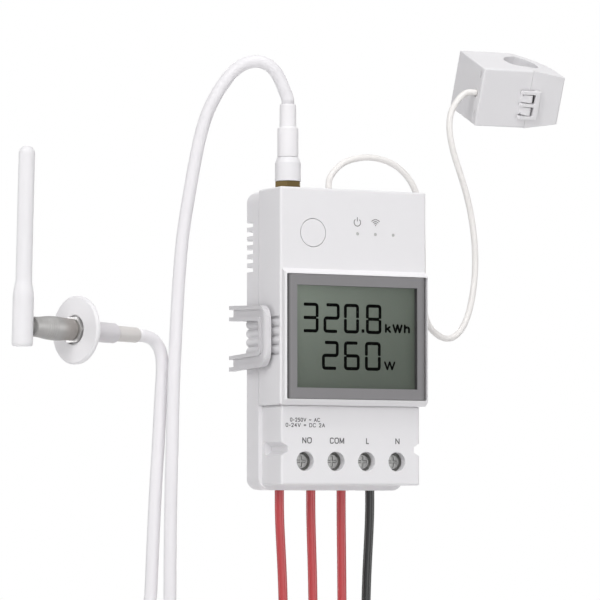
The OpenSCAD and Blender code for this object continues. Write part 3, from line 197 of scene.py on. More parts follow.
def coil_places(n):
    """Spiral in on the front layer, a climb over a half turn, and a spiral out on the back layer."""
    radius = coil_radius - turn_gap * np.minimum(n, coil_turns - n)
    layer = layer_gap * (smooth_step((n - coil_turns / 2 + climb_turns / 2) / climb_turns) - 0.5)
    a = 2 * np.pi * n
    return coil_middle + np.stack([radius * np.cos(a), layer, -radius * np.sin(a)], 1)


def smooth_route(points, step):
    """Natural cubic spline through the points, on their chord lengths, read at about even steps."""
    p = np.asarray(points, float)
    h = np.linalg.norm(np.diff(p, axis=0), axis=1)
    t = np.concatenate([[0], np.cumsum(h)])
    count = len(p)
    system = np.eye(count)
    pull = np.zeros((count, 3))
    inner = np.arange(1, count - 1)
    system[inner, inner - 1] = h[:-1]
    system[inner, inner] = 2 * (h[:-1] + h[1:])
    system[inner, inner + 1] = h[1:]
    slope = np.diff(p, axis=0) / h[:, None]
    pull[1:-1] = 6 * np.diff(slope, axis=0)
    m = np.linalg.solve(system, pull)
    s = np.linspace(0, t[-1], int(np.ceil(t[-1] / step)) + 1)
    i = np.clip(np.searchsorted(t, s, side="right") - 1, 0, count - 2)
    u = (s - t[i])[:, None]
    w = h[i][:, None]
    v = w - u
    return (m[i] * v ** 3 + m[i + 1] * u ** 3) / (6 * w) + (p[i] / w - m[i] * w / 6) * v + (
        p[i + 1] / w - m[i + 1] * w / 6) * u


def laid_mesh(name, points, faces, uv=None):
    """A smooth mesh object from arrays of points and faces. Doubled points merge, so that poles close."""
    mesh = bpy.data.meshes.new(name)
    mesh.from_pydata(np.asarray(points).reshape(-1, 3).tolist(), [], faces)
    if uv is not None:
        corners = np.concatenate([np.asarray(f) for f in faces])
        layer = mesh.uv_layers.new(name="along")
        layer.data.foreach_set("uv", np.asarray(uv, float).reshape(-1, 2)[corners].ravel())
    work = bmesh.new()
    work.from_mesh(mesh)
    bmesh.ops.remove_doubles(work, verts=work.verts, dist=1e-7)
    work.to_mesh(mesh)
    work.free()
    mesh.polygons.foreach_set("use_smooth", np.ones(len(mesh.polygons), bool))
    mesh.update()
    piece = bpy.data.objects.new(name, mesh)
    bpy.context.scene.collection.objects.link(piece)
    return piece


def ring_faces(rows, sides):
    """Faces of a grid of rows that closes round its sides, turned outwards when rows rise along the axis."""
    i, j = np.meshgrid(np.arange(rows - 1), np.arange(sides), indexing="ij")
    a = i * sides + j
    b = i * sides + (j + 1) % sides
    return np.stack([a, b, b + sides, a + sides], -1).reshape(-1, 4).tolist()


def run_along(path):
    """The distance run at each place of a path, from 0 at its start."""
    return np.concatenate([[0], np.cumsum(np.linalg.norm(np.diff(path, axis=0), axis=1))])


def unit_rows(rows):
    """Each row of an array, made one long."""
    return rows / np.linalg.norm(rows, axis=1)[:, None]


def round_lead(name, route, diameter, sides=24):
    """A circle carried along a route: its side is square to the heading and to Y, and flat ends close it."""
    along = unit_rows(np.gradient(route, axis=0))
    side = unit_rows(np.cross(along, [0.0, 1.0, 0.0]))
    other = np.cross(along, side)
    a = np.linspace(0, 2 * np.pi, sides, endpoint=False)
    ring = np.cos(a)[None, :, None] * side[:, None] + np.sin(a)[None, :, None] * other[:, None]
    skin = route[:, None] + diameter / 2 * ring
    first = np.repeat(route[:1], sides, 0)[None]
    last = np.repeat(route[-1:], sides, 0)[None]
    points = np.concatenate([first, skin, last])
    run = run_along(route)
    run = np.concatenate([run[:1], run, run[-1:]])
    uv = np.stack(np.broadcast_arrays(run[:, None] / MM / 10, a[None] / (2 * np.pi)), -1)
    return laid_mesh(name, points, ring_faces(len(points), sides), uv)


def noise(tree, place, scale, detail=2.0):
    """A noise pattern read at places."""
    return added(tree, "TexNoise", {"Scale": scale, "Detail": detail}, {"Vector": place}).outputs["Fac"]


def two_tone(tree, pattern, colour, low, high):
    """A colour that a pattern takes from its low share to its high share."""
    tones = [(*[min(c * share, 1.0) for c in colour], 1.0) for share in (low, high)]
    return added(tree, "Mix", {6: tones[0], 7: tones[1]}, {0: pattern}, data_type="RGBA").outputs[2]


def ranged(tree, pattern, low, high):
    """A number that a pattern takes from low to high."""
    return added(tree, "MapRange", {"To Min": low, "To Max": high}, {"Value": pattern}).outputs[0]


def relief(tree, pattern, strength, distance):
    """A bump in the surface that follows a pattern."""
    return added(tree, "Bump", {"Strength": strength, "Distance": distance}, {"Height": pattern}).outputs[0]


def jacket(name, colour, roughness, vary):
    """Extruded vinyl: faint patches of tone, fine streaks along the lead, and a soft gloss that varies."""
    finish, tree, shader = new_finish(name, {"Specular IOR Level": 0.42})
    place = added(tree, "TexCoord").outputs
    patches = noise(tree, place["Object"], 45.0, 3.0)
    stretch = added(tree, "Mapping", {"Scale": (0.4, 26.0, 1.0)}, {"Vector": place["UV"]})
    streaks = noise(tree, stretch.outputs[0], 1.0, 4.0)
    feed(tree, shader, {"Base Color": two_tone(tree, patches, colour, 1 - vary, 1 + vary),
                        "Roughness": ranged(tree, streaks, roughness - 0.06, roughness + 0.08),
                        "Normal": relief(tree, streaks, 0.08, 0.00003)})
    return finish


def fitted(piece, finish, slot, body, *nodes):
    """Gives a piece its finish and the body it rides on, and hides the nodes that it stands for; the slot is
    not used.
    """
    piece.data.materials.append(finish)
    if nodes:
        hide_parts(*nodes)
    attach(piece, body)
    return piece


coil_start = coil_places(np.array([0.0]))[0] + [0, 0, coil_run]
coil_end = coil_places(np.array([coil_turns]))[0]
lead_down = [
    [*plug_axis, sleeve_top], [*plug_axis, sleeve_top + 1.2],
    [-18.8, -12.9, 80.5], [-20.6, -12.4, 85], [-23.8, -11.5, 89.5], [-28, -10, 91], [-33, -8, 89.4],
    [-38.2, -6, 83.5], [-42.7, -4, 74.5], [-45.2, -2.6, 65], [-47, -1.8, 55], [-48.6, -1.2, 45],
    [-50, -0.6, 35], [-51.1, -0.4, 24], [-52, -0.5, 12], [-52.8, -0.8, 0], [-53.5, -1, -12],
    [-54, -1.3, -24], [-54.4, -1.6, -36], [-54.8, -1.8, -48], [-55.1, -2, -60], [-55.3, -2.2, -72],
    [-55.4, -2.3, -84], [-55.5, -2.4, -96], [-55.5, -2.4, -108], [-55.5, -2.4, -121], coil_start,
]
lead_up = [
    coil_end + [coil_run, 0, 0], coil_end + [coil_run + 1.2, 0, 0],
    [-77, 2.4, -107.5], [-71.5, 2.4, -105.2], [-66.5, 2.4, -101], [-62.6, 2.4, -94.5], [-60.4, 2.4, -86],
    [-59.6, 2.5, -75], [-59, 2.6, -63], [-58.3, 2.8, -51], [-57.4, 3.1, -39], [-56.6, 3.4, -28],
    [-55.7, 4, -17], [-55.2, 4.2, -9], [-56.1, 4, -3.6], [-58.8, 3.4, -0.3],
    *on_antenna([[28.4, 0, 0], [26.4, 0, 0]]),
]
lead_coil = coil_places(np.linspace(0, coil_turns, coil_knots))
lead_route = smooth_route(np.concatenate([lead_down, lead_coil, lead_up]), knot_step) * MM
antenna_lead = fitted(
    round_lead("antenna_lead", lead_route, lead_d), jacket("lead_vinyl", lead_white, 0.42, 0.02),
    "cable_white", "monitor", "antenna_cable_down", "antenna_cable_coil", "antenna_cable_up")

# Plug boot
# The stepped white sleeve over the crimp of the antenna plug: a firm moulded barrel, and above it a thinner
# soft sleeve that is shrunk onto the lead. It turns freely in the coupling under it.


def turned(name, profile, foot, axis, sides=96):
    """Surface of revolution: each (radius, height) of a profile goes round an axis; no radius is a pole."""
    profile = np.asarray(profile, float)
    axis = np.asarray(axis, float) / np.linalg.norm(axis)
    side = np.cross(axis, [0.31, 0.89, 0.33])
    side /= np.linalg.norm(side)
    other = np.cross(axis, side)
    a = np.linspace(0, 2 * np.pi, sides, endpoint=False)
    ring = np.cos(a)[:, None] * side + np.sin(a)[:, None] * other
    points = np.asarray(foot) + profile[:, 1, None, None] * axis + profile[:, 0, None, None] * ring[None]
    run = run_along(profile)
    uv = np.stack(np.broadcast_arrays(run[:, None] / 10, a[None] / (2 * np.pi)), -1)
    return laid_mesh(name, points * MM, ring_faces(len(profile), sides), uv)


def eased_profile(corners, radius, steps=6):
    """A profile whose inner corners are rounded by curves of the second degree that start a radius away."""
    c = np.asarray(corners, float)
    before = c[:-2] - c[1:-1]
    after = c[2:] - c[1:-1]
    lb = np.linalg.norm(before, axis=1, keepdims=True)
    la = np.linalg.norm(after, axis=1, keepdims=True)
    r = np.minimum(np.asarray(radius, float), np.minimum(lb, la) * 0.49)
    start = c[1:-1] + before / lb * r
    finish = c[1:-1] + after / la * r
    t = np.linspace(0, 1, steps)[None, :, None]
    bend = (1 - t) ** 2 * start[:, None] + 2 * t * (1 - t) * c[1:-1][:, None] + t * t * finish[:, None]
    return np.concatenate([c[:1], bend.reshape(-1, 2), c[-1:]])


plug_boot_form = turned("plug_boot_sleeve", eased_profile([
    [0, 56.4], [2.95, 56.4], [2.95, 57.2], [2.25, 57.2], [2.25, 59.7], [3.45, 59.7], [3.45, 69.3],
    [2.75, 69.45], [2.7, 76.2], [2.62, sleeve_top], [0, sleeve_top]], 0.35), [*plug_axis, 0], [0, 0, 1])
plug_boot = fitted(plug_boot_form, jacket("boot_vinyl", (0.85, 0.835, 0.85), 0.5, 0.02),
                   "cable_white", "monitor", "plug_boot")

# Antenna boot
# The stepped boot behind the panel disc. Its thick part is moulded over the connector, and its thin part
# is a shrink sleeve that grips the lead. Both take darker greys than the plug's boot: painted shade for the
# panel disc's shadow.
swivel_foot = on_antenna([[0, 0, 0]])[0]
swivel_axis = on_antenna([[-1, 0, 0]])[0] - swivel_foot
antenna_boot_form = turned("antenna_boot_sleeve", eased_profile([
    [0, -16.9], [2.75, -16.85], [3.25, -16.2], [3.3, -3.35], [2.45, -3.3], [2.45, -9.0], [0, -9.1]], 0.35),
    swivel_foot, swivel_axis)
# Painted shade: the boot and the sleeve are coloured darker than the plug's boot, for the panel disc's
# shadow.
antenna_boot = fitted(antenna_boot_form, jacket("antenna_boot_painted_shade", (0.65, 0.63, 0.65), 0.5, 0.02),
                      "cable_white", "monitor", "antenna_boot")
shrink_sleeve_form = turned("antenna_shrink_sleeve", eased_profile([
    [0, -26.4], [2.25, -26.38], [2.5, -25.8], [2.55, -16.7], [0, -16.6]], 0.25), swivel_foot, swivel_axis)
shrink_sleeve = fitted(shrink_sleeve_form, jacket("shrink_sleeve_painted_shade", (0.64, 0.615, 0.60), 0.48, 0.03),
                       "cable_white", "monitor")

# Coil tie
# A flat black hook-and-loop strap that holds the put-away turns of the antenna lead. It goes once round the
# bundle at the coil's left side and laps over itself.
tie_low = np.array([-118.45, -4.85])
tie_high = np.array([-101.83, 4.85])
tie_width = 6.0
tie_thick = 0.8
tie_corner = 5.0


def strap_loop(low, high, corner, width, thick, middle_z, count=96, sides=12):
    """A rounded strip carried round a rounded rectangle, whose places lie on a superellipse."""
    a = np.linspace(0, 2 * np.pi, count, endpoint=False)
    middle = (low + high) / 2
    half = (high - low) / 2 + thick / 2
    power = 2.0 / corner
    x = middle[0] + half[0] * np.sign(np.cos(a)) * np.abs(np.cos(a)) ** power
    y = middle[1] + half[1] * np.sign(np.sin(a)) * np.abs(np.sin(a)) ** power
    b = np.linspace(0, 2 * np.pi, sides, endpoint=False)
    across = np.sign(np.sin(b)) * np.abs(np.sin(b)) ** 0.5 * width / 2
    out = np.sign(np.cos(b)) * np.abs(np.cos(b)) ** 0.8 * thick / 2
    step = unit_rows(np.stack([np.roll(x, -1) - np.roll(x, 1), np.roll(y, -1) - np.roll(y, 1)], 1))
    points = np.stack([x[:, None] + step[:, 1, None] * out, y[:, None] - step[:, 0, None] * out,
                       np.broadcast_to(middle_z + across, (count, sides))], -1)
    i, j = np.meshgrid(np.arange(count), np.arange(sides), indexing="ij")
    k = (i + 1) % count
    n = (j + 1) % sides
    faces = np.stack([i * sides + j, k * sides + j, k * sides + n, i * sides + n], -1).reshape(-1, 4)
    return points, faces


def woven_strap(name, colour):
    """Looped nylon: fine rows from a wave, broken up by a noise for the nap, with a dull sheen."""
    finish, tree, shader = new_finish(name, {"Roughness": 0.9, "Sheen Weight": 0.3})
    place = added(tree, "TexCoord").outputs["Object"]
    rows = added(tree, "TexWave", {"Scale": 620.0, "Distortion": 1.5}, {"Vector": place},
                 bands_direction="Z")
    nap = noise(tree, place, 2600.0, 3.0)
    both = added(tree, "Math", {}, {0: rows.outputs["Fac"], 1: nap}, operation="MULTIPLY").outputs[0]
    feed(tree, shader, {"Base Color": two_tone(tree, both, colour, 0.5, 1.9),
                        "Normal": relief(tree, both, 0.7, 0.00015)})
    return finish


tie_points, tie_faces = strap_loop(tie_low, tie_high, tie_corner, tie_width, tie_thick, coil_middle[2])
coil_strap = fitted(laid_mesh("coil_strap", tie_points * MM, tie_faces.tolist()),
                    woven_strap("strap_loop_nylon", (0.035, 0.035, 0.037)), "cable_dark", "monitor",
                    "coil_tie")

# Sensor lead
# The thin two-core lead of the current clamp in a white vinyl jacket. It comes out of a grommet in the top
# wall, passes down beside the case, and loops up into the clamp's end face.
sensor_d = 2.1 * MM
clamp_middle = np.array([75.7, -10.0, 83.9])
clamp_lean = 23.5
clamp_turn = -4.5


def turned_about_x(points, degrees):
    """Points turned about the X axis by an angle."""
    a = np.radians(degrees)
    return points @ np.array([[1, 0, 0], [0, np.cos(a), np.sin(a)], [0, -np.sin(a), np.cos(a)]])


def on_clamp(points):
    """Places on the leaning clamp: along it, back from its front, and up it, in the part's frame."""
    return clamp_middle + turned_about_z(turned_about_x(np.atleast_2d(points), clamp_lean), clamp_turn)


sensor_knots = np.concatenate([[
    [-2.5, -12, 49.6], [-2.5, -12, 50.6],
    [-2.3, -12, 52.8], [-0.4, -12, 56], [3, -12, 58.8], [8, -12, 60.6], [14, -12, 61.1], [20.5, -12, 59.8],
    [26.2, -12, 56.4], [30, -12, 51.2], [32, -12, 44.5], [32.8, -12, 37], [33, -12, 29], [33, -12, 21],
    [33.4, -12, 13], [35, -12, 6.5], [38.5, -12, 3], [43.5, -11.5, 1.8], [48, -11, 4.5], [51.3, -10.5, 10],
    [53.6, -10, 18], [54.7, -9.5, 26], [54.7, -9.2, 34], [53.8, -8.8, 42.5], [51.8, -8.4, 51.5],
    [49, -8, 60], [46.8, -7.6, 67.5], [46.2, -7.2, 73.5], [47.2, -6.7, 78.5], [50, -6.1, 82.6],
], on_clamp([[-21.5, 3.5, 0.5], [-17.5, 3.5, 0.5]])])
sensor_route = smooth_route(sensor_knots, 1.0) * MM
sensor_lead = fitted(
    round_lead("sensor_lead", sensor_route, sensor_d, 18),
    jacket("sensor_vinyl", (0.84, 0.82, 0.80), 0.45, 0.03), "cable_white", "monitor", "sensor_cable")

# Supply and load wires
# Single wires with red and black vinyl insulation, clamped in the four terminals and hanging straight down.
# Each ends below in a crimped ferrule with a plastic collar and a tinned pin.
wire_d = 3.1 * MM
wire_y = -5.95
terminal_x = (np.arange(4) - 1.5) * 11.3
wire_shift = np.array([-0.6, -0.3, -0.3, -0.85])
wire_drift = np.array([0.8, 0.5, 0.0, -2.3])
red_vinyl = jacket("red_wire_vinyl", (0.50, 0.05, 0.057), 0.18, 0.06)
black_vinyl = jacket("black_wire_vinyl", (0.012, 0.012, 0.013), 0.22, 0.15)


def machined(name, colour, roughness, streak):
    """Bare metal: fine turning marks from a stretched noise, small changes of tone, and uneven polish."""
    finish, tree, shader = new_finish(name, {"Metallic": 1.0})
    place = added(tree, "TexCoord").outputs["Object"]
    stretch = added(tree, "Mapping", {"Scale": streak}, {"Vector": place})
    marks = noise(tree, stretch.outputs[0], 1.0, 4.0)
    feed(tree, shader, {"Base Color": two_tone(tree, marks, colour, 0.85, 1.12),
                        "Roughness": ranged(tree, marks, roughness - 0.1, roughness + 0.12),
                        "Normal": relief(tree, marks, 0.2, 0.00004)})
    return finish


tinned = machined("tinned_copper", (0.72, 0.71, 0.69), 0.34, (900, 900, 90))
for k in range(4):
    vinyl, slot = (black_vinyl, "cable_dark") if k == 3 else (red_vinyl, "wire_red")
    x0 = terminal_x[k] + wire_shift[k]
    x1 = terminal_x[k] + wire_drift[k]
    knots = [[x0, wire_y, -37.1], [x0, wire_y, -46], [x0, wire_y, -55], [(x0 + x1) / 2, wire_y, -70],
             [x1, wire_y, -88], [x1, wire_y, -97], [x1, wire_y, -106]]
    wire_route = smooth_route(knots, knot_step) * MM
    wire = fitted(round_lead("wire_%d_lead" % (k + 1), wire_route, wire_d, 20), vinyl, slot, "monitor",
                  "wire_%d" % (k + 1))
    collar_form = turned("ferrule_collar_%d" % (k + 1), eased_profile([
        [0, -105.9], [1.75, -106], [1.9, -106.3], [1.85, -109.2], [1.3, -111], [0, -111]], 0.2)[::-1],
        [x1, wire_y, 0], [0, 0, 1], 40)
    collar = fitted(collar_form, vinyl, slot, "monitor", "wire_ferrules")
    pin_form = turned("ferrule_pin_%d" % (k + 1), eased_profile([
        [0, -118], [0.95, -118], [1.15, -117.6], [1.15, -110.9], [0, -110.8]], 0.15),
        [x1, wire_y, 0], [0, 0, 1], 40)
    pin = fitted(pin_form, tinned, "tin_metal", "monitor")

# Rear housing
# The tray of the case: white flame-resistant plastic, injection moulded with a fine spark-eroded grain. It
# carries the rail seat, the fixed hook, comb vents and finger ribs, and four screws hold it to the covers.


def moulded(name, colour, roughness, vary=0.015, grain=2400.0, depth=0.000012):
    """Injection-moulded plastic: slow drifts of tone, a fine grain in the relief, and gloss that follows."""
    finish, tree, shader = new_finish(name, {"Specular IOR Level": 0.4})
    place = added(tree, "TexCoord").outputs["Object"]
    drift = noise(tree, place, 38.0, 3.0)
    eroded = noise(tree, place, grain)
    feed(tree, shader, {"Base Color": two_tone(tree, drift, colour, 1 - vary, 1 + vary),
                        "Roughness": ranged(tree, eroded, roughness - 0.08, roughness + 0.08),
                        "Normal": relief(tree, eroded, 0.3, depth)})
    return finish


def dress(node, finish):
    """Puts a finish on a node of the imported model."""
    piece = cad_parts[node]
    piece.data.materials.clear()
    piece.data.materials.append(finish)


case_white = (0.80, 0.79, 0.805)
case_plastic = moulded("case_white_plastic", case_white, 0.46)
dress("rear_housing", case_plastic)

# Front cover
# The upper shell with the raised display block, the button hole and the light-pipe holes. It is moulded in
# the same white plastic and clips and screws onto the tray along the seam.
dress("front_cover", case_plastic)

# Terminal cover
# The lower shell over the terminals, with a round hole over each screw and a sealing notch in each side.
# It is moulded like the front cover, and its legends are printed in grey.
dress("terminal_cover", case_plastic)


def printed(name, colour, specular=0.1):
    """Pad-printed ink: a thin film whose density breaks up a little."""
    finish, tree, shader = new_finish(name, {"Roughness": 0.55, "Specular IOR Level": specular})
    density = noise(tree, added(tree, "TexCoord").outputs["Object"], 1800.0, 3.0)
    feed(tree, shader, {"Base Color": two_tone(tree, density, colour, 0.8, 1.25)})
    return finish


grey_ink = printed("grey_print", (0.14, 0.135, 0.14))
pale_ink = printed("pale_grey_print", (0.22, 0.21, 0.21))


def stroke(path, width, end_round=1.0):
    """A flat ribbon on a path of places across and up, whose half width falls to nothing at each end."""
    path = np.asarray(path, float)
    run = run_along(path)
    r = width / 2
    near = np.minimum(run, run[-1] - run)
    half = np.where(near < r * end_round, np.sqrt(np.maximum(r * r - (r - near / end_round) ** 2, 0)), r)
    step = unit_rows(np.gradient(path, axis=0))
    left = np.stack([-step[:, 1], step[:, 0]], 1) * half[:, None]
    points = np.stack([path - left, path + left], 1).reshape(-1, 2)
    i = np.arange(len(path) - 1) * 2
    return points, np.stack([i, i + 2, i + 3, i + 1], 1)


def bent_path(corners, radius, step=0.08):
    """A path of straight runs with its corners rounded, read at even steps."""
    line = eased_profile(corners, radius, 9) if len(corners) > 2 else np.asarray(corners, float)
    run = run_along(line)
    s = np.linspace(0, run[-1], max(int(run[-1] / step), 8))
    return np.stack([np.interp(s, run, line[:, 0]), np.interp(s, run, line[:, 1])], 1)


def flat_marks(name, strokes, face_y, finish):
    """Ribbons on one plane that faces the front, joined into one piece."""
    points = np.concatenate([p for p, f in strokes])
    starts = np.cumsum([0] + [len(p) for p, f in strokes[:-1]])
    faces = np.concatenate([f + s for (p, f), s in zip(strokes, starts)])
    laid = np.stack([points[:, 0], np.full(len(points), face_y), points[:, 1]], 1) * MM
    piece = laid_mesh(name, laid, faces.tolist())
    piece.data.materials.append(finish)
    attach(piece, "monitor")
    return piece


letters = {
    " ": (0.3, ()),
    "-": (0.34, ([[0, 0.42], [1, 0.42]],)),
    "~": (0.62, ([[0, 0.38], [0.28, 0.64], [0.72, 0.36], [1, 0.62]],)),
    "=": (0.55, ([[0, 0.34], [1, 0.34]], [[0, 0.62], [1, 0.62]])),
    "0": (0.54, ([[0.65, 1], [0, 1], [0, 0], [1, 0], [1, 1], [0.35, 1]],)),
    "2": (0.52, ([[0, 0.76], [0, 1], [1, 1], [1, 0.6], [0, 0]], [[0, 0], [1, 0]])),
    "4": (0.56, ([[0.72, 0], [0.72, 1]], [[0.72, 1], [0, 0.3]], [[0, 0.3], [1, 0.3]])),
    "5": (0.52, ([[0.95, 1], [0.1, 1]], [[0.1, 1], [0.05, 0.56]],
                 [[0.05, 0.56], [1, 0.62], [1, 0], [0, 0]])),
    "A": (0.7, ([[0, 0], [0.5, 1]], [[0.5, 1], [1, 0]], [[0.2, 0.34], [0.8, 0.34]])),
    "C": (0.7, ([[1, 0.84], [0.82, 1], [0, 1], [0, 0], [0.82, 0], [1, 0.16]],)),
    "D": (0.68, ([[0, 0], [0, 1]], [[0, 1], [1, 1], [1, 0], [0, 0]])),
    "L": (0.5, ([[0, 1], [0, 0]], [[0, 0], [1, 0]])),
    "M": (0.86, ([[0, 0], [0, 1]], [[0, 1], [0.5, 0.1]], [[0.5, 0.1], [1, 1]], [[1, 1], [1, 0]])),
    "N": (0.68, ([[0, 0], [0, 1]], [[0, 1], [1, 0]], [[1, 0], [1, 1]])),
    "O": (0.8, ([[0.65, 1], [0, 1], [0, 0], [1, 0], [1, 1], [0.35, 1]],)),
    "V": (0.7, ([[0, 1], [0.5, 0]], [[0.5, 0], [1, 1]])),
    "W": (1.05, ([[0, 1], [0.26, 0]], [[0.26, 0], [0.5, 1]], [[0.5, 1], [0.74, 0]],
                 [[0.74, 0], [1, 1]])),
    "h": (0.52, ([[0, 0], [0, 1]], [[0, 0.45], [0.15, 0.7], [1, 0.7], [1, 0]])),
    "k": (0.54, ([[0, 0], [0, 1]], [[0, 0.3], [0.9, 0.7]], [[0.36, 0.44], [1, 0]])),
}


def lettering(words, x, z, weight, gap=0.36):
    """Strokes of plain letters, figures and signs, set side by side and fitted to a place across and up."""
    wide = [letters[mark][0] for mark in words]
    starts = np.cumsum([0] + [w + gap for w in wide[:-1]])
    room = x[1] - x[0] - weight
    across = room / (starts[-1] + wide[-1])
    tall = z[1] - z[0] - weight
    corner = np.array([x[0], z[0]]) + weight / 2
    made = []
    for mark, start, w in zip(words, starts, wide):
        for line in letters[mark][1]:
            laid = corner + (np.asarray(line, float) * [w, 1] + [start, 0]) * [across, tall]
            way = bent_path(laid, 0.4 * tall, 0.04)
            ends = weight / 2 * unit_rows(np.array([way[0] - way[1], way[-1] - way[-2]]))
            made.append(stroke(np.concatenate([[way[0] + ends[0]], way, [way[-1] + ends[1]]]), weight, 0.1))
    return made


terminal_face = -23.02
legend_weight = 0.35
rating_weight = 0.25
for words, middle, width in (("NO", -16.3, 3.5), ("COM", -5.3, 5.3), ("L", 6.0, 1.15), ("N", 17.15, 1.6)):
    legend_x = (middle - width / 2, middle + width / 2)
    flat_marks("legend_" + words.lower(), lettering(words, legend_x, (-34.0, -32.0), legend_weight),
               terminal_face, grey_ink)
rating_lines = lettering("0-250V ~ AC", (-22.5, -11.5), (-27.0, -25.7), rating_weight)
rating_lines += lettering("0-24V = DC 2A", (-24.1, -9.7), (-28.75, -27.4), rating_weight)
flat_marks("legend_rating", rating_lines, terminal_face, grey_ink)

# Panel icons
# The power and wireless signs over the indicator dots. They are pad-printed in pale grey ink on the upper
# panel, as the legends below are.
panel_face = -25.02
power_middle = (1.2, 38.2)
wireless_middle = (8.0, 37.3)


def arc_path(middle, radius, start, finish, count=40):
    """A path along part of a circle between two angles in degrees."""
    a = np.radians(np.linspace(start, finish, count))
    return np.asarray(middle) + radius * np.stack([np.cos(a), np.sin(a)], 1)


flat_marks("power_icon", [
    stroke(arc_path(power_middle, 1.2, 125, 415), 0.3),
    stroke(bent_path([[1.2, 38.5], [1.2, 39.95]], 0.1), 0.3)], panel_face, pale_ink)
wireless_arcs = [stroke(arc_path(wireless_middle, radius, 42, 138), 0.28) for radius in (2.05, 1.4, 0.78)]
wireless_dot = stroke(bent_path([[7.8, 37.45], [8.2, 37.45]], 0.1, 0.03), 0.4)
flat_marks("wireless_icon", wireless_arcs + [wireless_dot], panel_face, pale_ink)

# Display bezel
# A fine matte grey moulding that frames the window and holds the display stack against the cover's ledge.
# It presses into the rim of the display block. Painted shade darkens its grey over its sides and inner
# walls, and a painted shadow band darkens its right edge.
bezel_front = -0.02748
bezel_full_shade_y = -0.0270
bezel_shadow_band_x = (0.0232, 0.0257)
bezel_plastic = moulded("bezel_grey_plastic", (0.205, 0.2, 0.206), 0.55, 0.02, 3600.0)
bezel_tree = bezel_plastic.node_tree
bezel_shader = bezel_tree.nodes["Principled BSDF"]
bezel_grey = bezel_shader.inputs["Base Color"].links[0].from_socket
bezel_place = added(bezel_tree, "TexCoord").outputs["Object"]
bezel_axes = added(bezel_tree, "SeparateXYZ", {}, {0: bezel_place}).outputs
# Painted shade: the grey darkens with depth behind the bezel's front, over its rolled edges and the window's
# inner walls, and a painted shadow band darkens its right edge.
bezel_recess_painted_shade = added(bezel_tree, "MapRange", {"From Min": bezel_front, "From Max": bezel_full_shade_y},
                    {"Value": bezel_axes["Y"]})
bezel_right_painted_shadow = added(bezel_tree, "MapRange", {
    "From Min": bezel_shadow_band_x[0], "From Max": bezel_shadow_band_x[1], "To Max": 0.65}, {"Value": bezel_axes["X"]},
    interpolation_type="SMOOTHSTEP")
bezel_all_painted_shade = added(bezel_tree, "Math", {}, {0: bezel_recess_painted_shade.outputs[0], 1: bezel_right_painted_shadow.outputs[0]},
                   operation="MAXIMUM")
bezel_grey_painted_shade = added(bezel_tree, "Mix", {7: (0.055, 0.053, 0.055, 1.0)},
                    {0: bezel_all_painted_shade.outputs[0], 6: bezel_grey}, data_type="RGBA")
feed(bezel_tree, bezel_shader, {"Base Color": bezel_grey_painted_shade.outputs[2]})
dress("display_bezel", bezel_plastic)

# Display window
# A thin sheet of clear acrylic with an anti-glare coat, laid over the cell behind the bezel's lip. It has a
# faint smoky tint and is held between the bezel and the cover's ledge.
window_acrylic, window_tree, window_shader = new_finish("window_acrylic", {
    "Base Color": (0.012, 0.014, 0.012, 1.0), "Alpha": 0.08, "Specular IOR Level": 0.03})
window_haze = noise(window_tree, added(window_tree, "TexCoord").outputs["Object"], 60.0)
feed(window_tree, window_shader, {"Roughness": ranged(window_tree, window_haze, 0.16, 0.26)})
dress("display_window", window_acrylic)

# Display cell
# The liquid crystal cell: two glass sheets with polariser films, a grey-green reflective back with painted
# shade that darkens it towards its lower right, and black segments where the crystal is switched on. The
# cell also glows
# with its own tone: painted light that stands for the backlight and lifts the shadow under the bezel's lip.
# Painted shade: the cell's tone darkens from its upper left to its lower right.
cell_shade_slope = -0.55
cell_shade_half = 0.026
# Painted light: the cell glows with its own tone, standing for the backlight and lifting the shadow under
# the bezel's lip.
cell_film, cell_tree, cell_shader = new_finish("cell_polariser", {
    "Roughness": 0.5, "Specular IOR Level": 0.2, "Emission Strength": 0.75})
cell_place = added(cell_tree, "TexCoord").outputs["Object"]
cell_axes = added(cell_tree, "SeparateXYZ", {}, {0: cell_place}).outputs
cell_shade_slant = added(cell_tree, "Math", {1: cell_shade_slope}, {0: cell_axes["X"], 2: cell_axes["Z"]},
                   operation="MULTIPLY_ADD")
cell_shade_range = added(cell_tree, "MapRange", {"From Min": -cell_shade_half, "From Max": cell_shade_half},
                   {"Value": cell_shade_slant.outputs[0]})
cell_painted_shade = added(cell_tree, "Math", {1: 2.0}, {0: cell_shade_range.outputs[0]}, operation="POWER")
shaded_cell_colour = added(cell_tree, "Mix", {6: (0.060, 0.070, 0.058, 1.0), 7: (0.134, 0.156, 0.131, 1.0)},
                  {0: cell_painted_shade.outputs[0]}, data_type="RGBA")
cell_speck = added(cell_tree, "TexNoise", {"Scale": 3200.0, "Detail": 2.0}, {"Vector": cell_place})
cell_grain_and_painted_shade = added(cell_tree, "Mix", {0: 0.12}, {6: shaded_cell_colour.outputs[2], 7: cell_speck.outputs["Color"]},
                   data_type="RGBA", blend_type="SOFT_LIGHT")
feed(cell_tree, cell_shader, {"Base Color": cell_grain_and_painted_shade.outputs[2], "Emission Color": cell_grain_and_painted_shade.outputs[2]})
dress("display_cell", cell_film)

